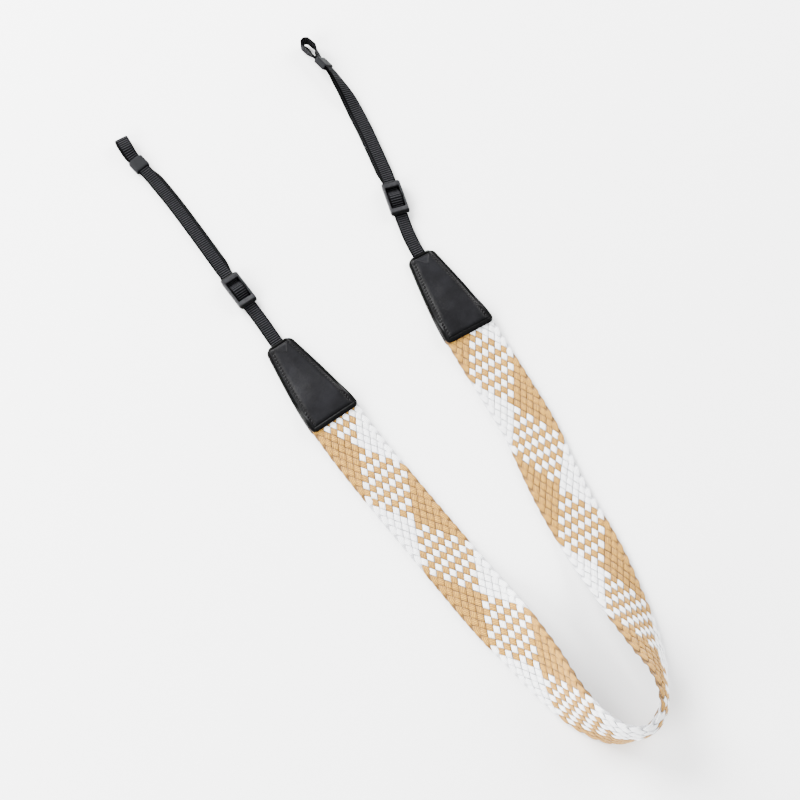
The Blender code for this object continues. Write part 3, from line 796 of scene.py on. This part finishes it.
def nylon_material():
    """Black nylon: a painted grey highlight on its rib crests over black valleys, with the fine lines of its
    cords.
    """
    nylon = Material("black_nylon_weave", roughness=0.5, specular=0.01)
    nylon.crest_tone((0.0, srgb(1, 1, 1)), (0.52, srgb(2, 2, 3)), (1.0, srgb(56, 56, 59)))
    nylon.tint(nylon.noise(scale=700.0), (0.3, grey(0.62)), (0.7, grey(1.1)))
    nylon.bump(nylon.bands("Y", scale=1.0, distortion=0.6), distance=0.0001, strength=0.5)
    nylon.bump(nylon.noise(scale=4000.0, detail=2.0), distance=0.00006, strength=0.5)
    return nylon.finish()


def plastic_material(name, dark, light, roughness, mottle):
    """Matte moulded plastic, mottled, with painted light on its tops and edges and painted shade below and
    inside, and a fine moulded grain.
    """
    plastic = Material(name, roughness=roughness, specular=0.06)
    plastic.crest_tone((0.0, dark), (1.0, light))
    plastic.tint(plastic.noise(scale=420.0, detail=4.0), (0.35, grey(mottle)), (0.68, grey(1.2)))
    plastic.bump(plastic.noise(scale=5200.0, detail=2.0), distance=0.00004, strength=0.5)
    return plastic.finish()


def strand_section():
    """The outline of one strand in shares of its half width and half thickness, and how pale it is painted,
    with painted shade in its yarn valleys, at its edges and to its sides.
    """
    across = np.array(TOP_PLACES + BOTTOM_PLACES)
    at_edge = np.abs(across) > STRAND_EDGE
    valleys = np.where(at_edge, 0.0, np.cos(math.pi * YARNS_PER_STRAND * across / 2) ** 2)
    swell = (1 - np.abs(across) ** STRAND_FLATNESS) ** 0.5
    height = swell * (1 - YARN_RELIEF * valleys) * (1 - STRAND_CROWN * across**2)
    height[len(TOP_PLACES):] *= -1
    # Painted shade in the yarn valleys, at the strand's edges and towards its sides
    pale = (1 - VALLEY_PAINTED_SHADE * valleys) * (1 - STRAND_EDGE_PAINTED_SHADE * at_edge) * (1 - SIDE_PAINTED_SHADE * across**2)
    return across, height, pale


def strand_level(turned):
    """How high a strand lies, from -1 to 1, twice per count after its turn at the inner edge."""
    wave = np.cos(math.pi * turned) * np.where(turned < STRANDS, 1, -1)
    for turn in (0, STRANDS, 2 * STRANDS):
        past = turned - turn
        wave = np.where(np.abs(past) < 1, np.cos(math.pi * (past + 1) / 2), wave)
    return np.tanh(STRAND_SQUARENESS * wave) / math.tanh(STRAND_SQUARENESS)


def from_edge(steps):
    """A strand's distance from an edge of the band, rounded where it turns there."""
    step = (BAND_WIDTH + 2 * BRAID_OVERSHOOT) / STRANDS
    straight = np.abs(steps * step - BRAID_OVERSHOOT)
    return (straight**TURN_ROUNDING + STRAND_HALF_WIDTH**TURN_ROUNDING) ** (1 / TURN_ROUNDING)


class BandSurface:
    """The band's middle layer as a fine grid that is read between its points."""

    def __init__(self, route):
        self.along = np.linspace(-BAND_TUCK, BAND_LENGTH + BAND_TUCK, GRID_ALONG)
        points = band_points(route, self.along, np.linspace(0.0, 1.0, GRID_ACROSS))
        normals = unit(np.cross(np.gradient(points, axis=0), np.gradient(points, axis=1)))
        self.grid = np.concatenate((points, normals * np.sign(normals[0, 0, 2])), axis=-1)

    def place(self, along, from_inner, height):
        """Points at distances along the band and from its inner edge, at heights over its middle layer."""
        row = np.interp(along, self.along, np.arange(GRID_ALONG))
        column = from_inner / BAND_WIDTH * (GRID_ACROSS - 1)
        low_row = np.clip(row.astype(int), 0, GRID_ALONG - 2)
        low_column = np.clip(column.astype(int), 0, GRID_ACROSS - 2)
        u = (row - low_row)[..., None]
        v = (column - low_column)[..., None]
        near = self.grid[low_row, low_column] * (1 - v) + self.grid[low_row, low_column + 1] * v
        far = self.grid[low_row + 1, low_column] * (1 - v) + self.grid[low_row + 1, low_column + 1] * v
        point, normal = np.split(near * (1 - u) + far * u, 2, axis=-1)
        return point + normal * height[..., None]


def braid_along(count):
    """Distance along the band at a braid count."""
    counts = BRAID_COUNTS.count
    places = BRAID_COUNTS.share * BAND_LENGTH
    rates = np.diff(places) / np.diff(counts)
    before = np.minimum(count - counts[0], 0.0) * rates[0]
    after = np.maximum(count - counts[-1], 0.0) * rates[-1]
    return np.interp(count, counts, places) + before + after


def make_strands(surface, name, members, wider, material):
    """Some of the braid's strands as one piece, each a bundle of yarns from tab to tab."""
    shape = Shape()
    across, thickness, pale = strand_section()
    first, last = BRAID_COUNTS.count[[0, -1]]
    margin = BRAID_HIDDEN_END / BAND_LENGTH * (last - first)
    crossings = np.arange(math.floor(2 * (first - margin)), math.ceil(2 * (last + margin)))
    count = (crossings[:, None] + STRAND_SAMPLES).ravel() / 2
    crossing = np.mod(np.round(2 * count).astype(int), WOBBLE_LENGTH)
    along = braid_along(count)
    forward = np.gradient(along, count)
    side = across * (STRAND_HALF_WIDTH + wider)
    for member in members:
        turned = 2 * np.mod(count - member, STRANDS)
        steps_away = np.minimum(turned, 2 * STRANDS - turned)
        near = from_edge(steps_away)
        far = BAND_WIDTH - from_edge(STRANDS - steps_away)
        middle = np.where(steps_away < STRANDS / 2, near, far)
        outward = np.gradient(middle, count)
        length = np.hypot(forward, outward)
        level = strand_level(turned)
        height = STRAND_WAVE * level * (1 - LEVEL_WOBBLE * random_source.random(WOBBLE_LENGTH)[crossing])
        edge = np.minimum(middle, BAND_WIDTH - middle)
        inside = smoothstep((edge - STRAND_HALF_WIDTH) / STRAND_HALF_WIDTH)
        sway = random_source.normal(0, SIDE_WOBBLE, WOBBLE_LENGTH)[crossing]
        middle = middle + sway * np.abs(level) * inside
        ahead = (forward / length)[:, None]
        away = (outward / length)[:, None]
        skew = -CELL_SKEW * np.clip(away / math.sin(BRAID_ANGLE), -1, 1)
        ring_along = along[:, None] + side * (skew * ahead - away)
        ring_across = middle[:, None] + side * (skew * away + ahead)
        ring_height = height[:, None] + thickness[None, :] * STRAND_HALF_THICKNESS
        rings = surface.place(ring_along, np.clip(ring_across, 0.0, BAND_WIDTH), ring_height)
        edge = np.minimum(middle, BAND_WIDTH - middle)
        # Painted shade where the strand dives under its neighbours, lifted by painted light near the band's
        # edges where it turns
        at_turn = TURN_PAINTED_LIGHT * np.exp(-((edge / TURN_PAINTED_LIGHT_REACH) ** 2))
        lit = np.maximum(smoothstep((level - DIVE_LEVEL) / DIVE_SPAN), at_turn)
        crest = np.clip((DIVE_PAINTED_SHADE_TONE + (1 - DIVE_PAINTED_SHADE_TONE) * lit)[:, None] * pale, 0, 1)
        travelled = running(np.hypot(np.diff(along), np.diff(middle)))
        texture_along = travelled[:, None] / MM + TEXTURE_STEP_PER_STRAND * member
        texture = np.stack(np.broadcast_arrays(texture_along, across * TEXTURE_HALF_WIDTH), axis=-1)
        shape.loft(rings, crest, texture)
    return shape.make(name, material, sharp_degrees=70)


def with_edges(faces, right, left):
    """The columns of a strip's top and bottom faces, with an edge after each."""
    top, bottom = np.split(faces, 2, axis=1)
    edges = [np.full_like(faces[:, :1], edge) for edge in (right, left)]
    return np.concatenate((top, edges[0], bottom, edges[1]), axis=1)


def make_webbing(route, side, material):
    """One ribbed strip from the tab through slider and keeper, round the end loop and back."""
    line = webbing_line(side, LINE_STEP)
    points = route.place(TAB_END + line[0], line[2], line[1])
    travelled = running(np.linalg.norm(np.diff(points, axis=0), axis=1))
    stations = spaced(0.0, travelled[-1], RIB_PITCH / RIB_STEPS)
    along, height, shift = (np.interp(stations, travelled, values) for values in line)
    middle = route.place(TAB_END + along, shift, height)[:, None]
    sideways = unit(route.place(TAB_END + along, shift + MM, height)[:, None] - middle)
    upward = np.cross(sideways, unit(np.gradient(middle, axis=0)))

    from_keeper = np.abs(along - side.keeper_at) - KEEPER_LENGTH / 2
    half = WEBBING_WIDTH / 2 - WEBBING_SQUEEZE * (1 - smoothstep(from_keeper / KEEPER_RAMP))
    to_window_end = DOME_HALF_LENGTH + WINDOW_FILL_REACH - np.abs(along - side.slider_at)
    half = half + WINDOW_FILL * SLIDER_SIDE_CLEARANCE * smoothstep(to_window_end / WINDOW_FILL_RAMP)

    inner = WEBBING_WIDTH / 2 - SELVEDGE
    cords = np.linspace(RIB_END - inner, inner - RIB_END, CORD_COLUMNS)
    border = np.array([inner + RIB_END / 2, SELVEDGE_PLACE])
    columns = np.concatenate((-border[::-1], cords, border))
    face = np.concatenate((columns, columns[::-1]))
    ribbed = smoothstep((inner - np.abs(face)) / RIB_END)
    rib = np.abs(np.sin(math.pi * stations / RIB_PITCH))[:, None] ** RIB_BLUNTNESS
    cord = 1 - np.arange(len(face)) % 2
    edge_drop = np.where(np.abs(face) > inner + RIB_END, SELVEDGE_DROP, 0.0)
    level = WEBBING_THICKNESS / 2 - (RIB_DEPTH * (1 - rib) + CORD_RELIEF * cord) * ribbed - edge_drop
    level[:, len(columns):] *= -1
    # Painted highlight on the rib crests over painted shade in the rib valleys, a little darker on alternate
    # cords, and one tone on the flat selvedges
    crest = ribbed * rib**RIB_SHINE * (1 - CORD_SHADE * cord) + SELVEDGE_TONE * (1 - ribbed)

    places = with_edges(face[None], WEBBING_WIDTH / 2, -WEBBING_WIDTH / 2)
    across = (places * (half / (WEBBING_WIDTH / 2))[:, None])[..., None]
    rings = middle + sideways * across + upward * with_edges(level, 0.0, 0.0)[..., None]
    weft = np.stack(np.broadcast_arrays(stations[:, None] / MM, places / MM), axis=-1)
    shape = Shape()
    shape.loft(rings, with_edges(crest, EDGE_TONE, EDGE_TONE), weft)
    return shape.make(f"ribbed_webbing_{side.name}", material, sharp_degrees=70)


def edge_distance(to_side, to_end):
    """How far a point of the tab lies from its rounded outline."""
    corner = TAB_CORNER_RADIUS
    in_corner = (to_side < corner) & (to_end < corner)
    rounded = corner - np.hypot(corner - to_side, corner - to_end)
    return np.clip(np.where(in_corner, rounded, np.minimum(to_side, to_end)), 0.0, None)


def groove(distance, place, width):
    """A soft valley, 1 at its bottom, at a distance from an edge."""
    return np.exp(-(((distance - place) / width) ** 2))


def leather_top(from_mouth, side, front):
    """Height of a leather's outer face over the surface, and its tone there, with painted shade in its
    grooves and holes and a painted highlight on its raised panel and, on the front, its triangle.
    """
    to_side = tab_half_width(from_mouth) - np.abs(side)
    to_end = TAB_LENGTH - from_mouth
    to_ends = np.minimum(from_mouth, to_end)
    edge = edge_distance(to_side, to_ends)
    roll = np.clip(1 - edge / EDGE_ROLL, 0.0, 1.0)
    rim = (edge < RIM_WIDTH) | (from_mouth < MOUTH_RIM_WIDTH)
    side_groove = groove(to_side, RIM_WIDTH, RIM_GROOVE_WIDTH)
    mouth_groove = groove(from_mouth, MOUTH_RIM_WIDTH, RIM_GROOVE_WIDTH)
    end_groove = groove(to_end, END_RIM_WIDTH, RIM_GROOVE_WIDTH)
    off_side = smoothstep((to_side - END_GROOVE_MARGIN) / END_GROOVE_RAMP)
    cross_grooves = np.maximum(mouth_groove, end_groove) * off_side
    stitch_reach = smoothstep((to_ends - STITCH_REACH) / STITCH_REACH_RAMP)
    stitched = groove(to_side, STITCH_INSET, STITCH_GROOVE_WIDTH) * stitch_reach
    between = 0.5 - 0.5 * np.cos(2 * math.pi * (from_mouth - STITCH_START) / STITCH_PITCH)
    holes = stitched * between**HOLE_SHARPNESS
    inside_ends = np.minimum(from_mouth - MOUTH_RIM_WIDTH, to_end - END_RIM_WIDTH)
    panel = smoothstep(np.minimum(to_side - STITCH_INSET, inside_ends) / PANEL_SLOPE)
    relief = (
        -EDGE_ROLL_DROP * (1 - np.sqrt(1 - roll**2))
        - RIM_GROOVE_DEPTH * np.maximum(side_groove * SIDE_GROOVE_SHARE, cross_grooves)
        - STITCH_GROOVE_DEPTH * stitched - HOLE_DEPTH * holes
    )
    # Painted highlight on the raised panel, painted shade in the stitch groove, the holes and the cross
    # grooves, and darker rolled edges and rims
    tone = (
        TONES.plain + TONES.panel * panel + TONES.roll * roll + TONES.stitched * stitched
        + TONES.holes * holes + TONES.grooves * cross_grooves + TONES.rim * rim
    )
    if not front:
        return -relief, np.clip(tone, 0.0, 1.0)
    reached = (to_end - END_RIM_WIDTH) / (MARK_REACH - END_RIM_WIDTH)
    room = MARK_HALF_WIDTH * (1 - reached) - np.abs(side - MARK_SHIFT * reached)
    mark = smoothstep(room / MARK_SLOPE) * smoothstep(reached / MARK_RAMP)
    relief = relief + PANEL_RISE * panel + MARK_RISE * mark
    # The raised triangle gets a painted highlight
    return leather_level(from_mouth, side) + relief, np.clip(tone + TONES.mark * mark, 0.0, 1.0)


def tab_grid(rows, columns, row_easing, column_easing):
    """Distances from a tab's mouth and sideways places on the tab, closer together near its edges."""
    share = np.linspace(0.0, 1.0, rows + 1)
    eased = (1 - np.cos(share * math.pi)) / 2
    from_mouth = (row_easing * eased + (1 - row_easing) * share)[:, None] * TAB_LENGTH
    angle = np.linspace(-math.pi / 2, math.pi / 2, columns + 1)
    across = column_easing * np.sin(angle) + (1 - column_easing) * angle / (math.pi / 2)
    return from_mouth, across * rounded_half_width(from_mouth)


def make_leather(route, side, layer, material):
    """One leather of a tab with its rim, grooves and panel."""
    front = layer == "front"
    from_mouth, places = tab_grid(*(FRONT_GRID if front else BACK_GRID), ROW_EASING, COLUMN_EASING)
    outer, tone = leather_top(from_mouth, places, front)
    inner = leather_level(from_mouth, places) - LEATHER_THICKNESS if front else LEATHER_THICKNESS
    outer_points = route.place(from_mouth - TAB_OVERLAP, places, outer)
    inner_points = route.place(from_mouth - TAB_OVERLAP, places, inner)
    rings = np.concatenate((outer_points, inner_points[:, ::-1]), axis=1)
    crest = np.concatenate((tone, np.full(tone.shape, TONES.inside)), axis=1)
    shape = Shape()
    shape.loft(rings, crest)
    return shape.make(f"leather_{side.name}_{layer}", material, sharp_degrees=60)


def make_stitches(route, side, layer, material):
    """Short threads along both long sides of a tab, each half sunk in the leather."""
    front = layer == "front"
    shape = Shape()
    around = np.linspace(0, 2 * math.pi, STITCH_SIDES, endpoint=False)
    places = STITCH_RINGS.place
    radius = STITCH_RADIUS * STITCH_RINGS.swell
    bend = places**STITCH_BEND_POWER
    lift = STITCH_RADIUS * (STITCH_LIFT * (1 - bend) - STITCH_SINK * bend)
    for hand in (-1, 1):
        for start in np.arange(STITCH_START, TAB_LENGTH - STITCH_START, STITCH_PITCH):
            steps = start + places * STITCH_LENGTH / 2
            lateral = hand * (tab_half_width(steps) - STITCH_INSET) + places * STITCH_SLANT
            height = leather_top(steps, lateral, front)[0]
            centre = height + lift if front else height - lift + STITCH_RADIUS * BACK_STITCH_SINK
            ring_side = lateral[:, None] + radius[:, None] * np.cos(around)
            ring_height = centre[:, None] + radius[:, None] * np.sin(around)
            if not front:
                ring_height = np.maximum(ring_height, LOWEST_LEVEL)
            rings = route.place((steps - TAB_OVERLAP)[:, None], ring_side, ring_height)
            shape.loft(rings, np.full(ring_side.shape, STITCH_TONE))
    return shape.make(f"stitches_{side.name}_{layer}", material, sharp_degrees=60)


def rounded_rectangle(half_x, half_y, radius, per_corner):
    """Points round rectangles with round corners, the same number for every size."""
    half_x, half_y, radius = (np.asarray(size)[..., None, None] for size in (half_x, half_y, radius))
    start = np.arange(4) * math.pi / 2
    angles = np.linspace(start, start + math.pi / 2, per_corner, axis=-1)
    middle = start[:, None] + math.pi / 4
    x = np.sign(np.cos(middle)) * (half_x - radius) + radius * np.cos(angles)
    y = np.sign(np.sin(middle)) * (half_y - radius) + radius * np.sin(angles)
    points = np.stack((x, y), axis=-1)
    return points.reshape(*points.shape[:-3], -1, 2)


def gaps(points):
    """Distances from each point of a closed line to the next."""
    return np.linalg.norm(np.roll(points, -1, axis=0) - points, axis=-1)


def filled(rows, counts):
    """A closed list of rows with evenly spaced ones put between each and the next."""
    fine = []
    for row, following, count in zip(rows, np.roll(rows, -1, axis=0), counts):
        for share in np.arange(count) / count:
            fine.append(row * (1 - share) + following * share)
    return np.array(fine)


def make_slider(route, side, material):
    """A moulded frame with round corners and a low lip at each end, and the bar across its window."""
    inset, level, corner, pale = SLIDER_PROFILE
    half_x = SLIDER_WIDTH / 2 - inset * SLIDER_RAIL
    half_y = SLIDER_LENGTH / 2 - inset * SLIDER_END_BAR
    outlines = rounded_rectangle(half_x, half_y, corner, SLIDER_CORNER_POINTS)
    heights = np.broadcast_to((level * SLIDER_THICKNESS)[:, None], outlines.shape[:2])
    coarse = np.dstack((outlines, heights)).swapaxes(0, 1)
    rings = filled(coarse, np.maximum(gaps(coarse[:, 0]) / SLIDER_FACET, 1).astype(int))
    from_middle = np.abs(rings[..., 1])
    lip = smoothstep((LIP_LENGTH + LIP_STEP / 2 - SLIDER_LENGTH / 2 + from_middle) / LIP_STEP)
    lip = np.where(rings[..., 2] > SLIDER_THICKNESS / 2, lip, 0.0)
    rings[..., 2] -= LIP_DROP * lip
    beside = smoothstep((SLIDER_WINDOW_LENGTH / 2 + RAIL_DROP_REACH - from_middle) / RAIL_DROP_RAMP)
    beside = beside * smoothstep((np.abs(rings[..., 0]) - WEBBING_WIDTH / 2) / RAIL_DROP_SIDE)
    rings[..., 2] -= RAIL_DROP * beside * smoothstep(1 - rings[..., 2] / SLIDER_THICKNESS)

    outline = rounded_rectangle(BAR_WIDTH / 2, BAR_THICKNESS / 2, BAR_CORNER, BAR_CORNER_POINTS)
    outline[:, 1] += BAR_THICKNESS / 2
    bar_half = SLIDER_WINDOW_WIDTH / 2 + SLIDER_RAIL / 2
    bar = np.array([np.insert(outline, 0, x, axis=1) for x in np.linspace(-bar_half, bar_half, BAR_RINGS)])
    station = TAB_END + side.slider_at
    shape = Shape()
    # Painted light on the frame's top and painted shade on its sides, lips and underside; the bar is painted
    # in shade
    shape.loft(route.place_round(station, rings, SLIDER_BOTTOM), pale * (1 - LIP_PAINTED_SHADE * lip), closed=True)
    shape.loft(route.place_round(station, bar, SLIDER_BOTTOM), np.full(bar.shape[:2], BAR_PAINTED_SHADE_TONE))
    return shape.make(f"moulded_slider_{side.name}", material, sharp_degrees=35)


def evened(loop, count):
    """The same closed loop with another number of points, spread evenly over its old ones."""
    closed = np.concatenate((loop, loop[:1]))
    steps = np.linspace(0, len(loop), count, endpoint=False)
    return np.stack([np.interp(steps, np.arange(len(closed)), values) for values in closed.T], axis=1)


def make_keeper(route, side, material):
    """A soft sleeve with round edges round both layers of webbing."""
    one_end = np.stack(KEEPER_PROFILE, axis=1) * (KEEPER_WALL, KEEPER_LENGTH / 2, 1)
    other_end = one_end * (1, -1, 1)
    profile = np.concatenate((other_end[:1], one_end, other_end[:0:-1]))
    counts = np.maximum(gaps(profile[:, 1:2]) / KEEPER_FACET, 1).astype(int)
    inset, length, pale = filled(profile, counts).T
    corner = KEEPER_CORNER - KEEPER_CORNER_SHRINK * inset
    half_z = KEEPER_HOLLOW_HEIGHT / 2 + KEEPER_WALL
    outlines = rounded_rectangle(KEEPER_HALF_WIDTH - inset, half_z - inset, corner, KEEPER_CORNER_POINTS)
    loops = [filled(line, np.ceil(gaps(line) / KEEPER_SIDE_FACET).astype(int)) for line in outlines]
    count = min(len(loop) for loop in loops)
    rings = np.array([evened(loop, count) for loop in loops])
    rings = np.insert(rings, 1, length[:, None], axis=2)
    shape = Shape()
    rings = route.place_round(TAB_END + side.keeper_at, rings, half_z)
    shape.loft(rings, np.repeat(pale, count), closed=True)
    return shape.make(f"soft_keeper_{side.name}", material, sharp_degrees=50)


def aimed(data, place, look):
    """A new lamp or camera at a place, looking along a direction."""
    obj = bpy.data.objects.new(data.name, data)
    obj.location = place
    obj.rotation_euler = look.to_track_quat("-Z", "Y").to_euler()
    bpy.context.scene.collection.objects.link(obj)
    return obj


def make_stage():
    """A plain pale floor and soft studio light."""
    paper = Material("pale_paper", roughness=0.9, specular=0.1)
    paper.set(paper.shader, {"Base Color": grey(FLOOR_GREY)})
    bpy.ops.mesh.primitive_plane_add(size=FLOOR_SIZE, location=(0.0, 0.0, FLOOR_LEVEL))
    floor = bpy.context.object
    floor.name = "floor"
    floor.data.materials.append(paper.material)
    world = bpy.data.worlds.new("studio")
    bpy.context.scene.world = world
    world.use_nodes = True
    sky = world.node_tree.nodes["Background"].inputs
    sky["Color"].default_value = grey(1.0)
    sky["Strength"].default_value = SKY_STRENGTH
    for row in LIGHTS:
        light = bpy.data.lights.new(row.name, "AREA")
        light.size = LIGHT_SIZE
        light.energy = row.power
        aimed(light, row.place, -Vector(row.place))


def make_camera():
    """The camera at the photograph's angle and distance."""
    turn = math.radians(CAMERA_AZIMUTH)
    tilt = math.radians(CAMERA_ELEVATION)
    look = Vector((math.sin(turn) * math.cos(tilt), math.cos(turn) * math.cos(tilt), -math.sin(tilt)))
    data = bpy.data.cameras.new("camera")
    data.lens = CAMERA_LENS
    data.sensor_width = SENSOR_WIDTH
    bpy.context.scene.camera = aimed(data, Vector(CAMERA_AIM) - look * CAMERA_DISTANCE, look)


def find_part_shift(route):
    """How far the solids were moved to their frame, found from the flat back of the left tab."""
    steps = BACK_STATIONS - 1
    from_mouth, sides = tab_grid(steps, steps, BACK_EASING, column_easing=1.0)
    back = route.place(from_mouth - TAB_OVERLAP, sides, 0.0).reshape(-1, 3)
    low_corner, high_corner = np.array(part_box("tab_left_back"))
    shift = (low_corner + high_corner) / 2 - (back.min(axis=0) + back.max(axis=0)) / 2
    shift[2] = low_corner[2]
    return shift


band = band_route()
routes = {side.name: end_route(side, band) for side in SIDES}
part_shift = find_part_shift(routes["left"])
make_camera()
make_stage()

beige = strand_material(
    "beige_cotton", deep=srgb(34, 17, 2), middle=srgb(150, 106, 17), light=srgb(222, 169, 44),
    fleck=srgb(158, 109, 23), streak=(0.5, 0.42, 0.3, 1.0),
)
white = strand_material(
    "white_cotton", deep=srgb(140, 140, 144), middle=srgb(240, 241, 243), light=srgb(255, 255, 253),
    fleck=srgb(244, 244, 246), streak=(0.93, 0.93, 0.94, 1.0),
)
leather_skin = leather_material()
nylon_weave = nylon_material()
thread = plastic_material(
    "black_thread", dark=srgb(2, 2, 2), light=srgb(26, 26, 28), roughness=0.45, mottle=0.9,
)
slider_plastic = plastic_material(
    "grey_slider_plastic", dark=srgb(1, 1, 1), light=srgb(37, 37, 39), roughness=0.5, mottle=0.7,
)
keeper_rubber = plastic_material(
    "grey_keeper_rubber", dark=srgb(3, 3, 4), light=srgb(20, 21, 23), roughness=0.6, mottle=0.9,
)

surface = BandSurface(band)
beige_strands = make_strands(surface, "beige_strands", range(BEIGE_STRANDS), BEIGE_WIDER, beige)
white_strands = make_strands(surface, "white_strands", range(BEIGE_STRANDS, STRANDS), -WHITE_NARROWER, white)
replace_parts(beige_strands, "woven_band")
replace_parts(white_strands, "woven_band")
for side in SIDES:
    route = routes[side.name]
    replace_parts(make_webbing(route, side, nylon_weave), f"webbing_{side.name}")
    for layer in ("front", "back"):
        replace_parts(make_leather(route, side, layer, leather_skin), f"tab_{side.name}_{layer}")
        make_stitches(route, side, layer, thread)
    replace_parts(make_slider(route, side, slider_plastic), f"slider_{side.name}")
    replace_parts(make_keeper(route, side, keeper_rubber), f"keeper_{side.name}")
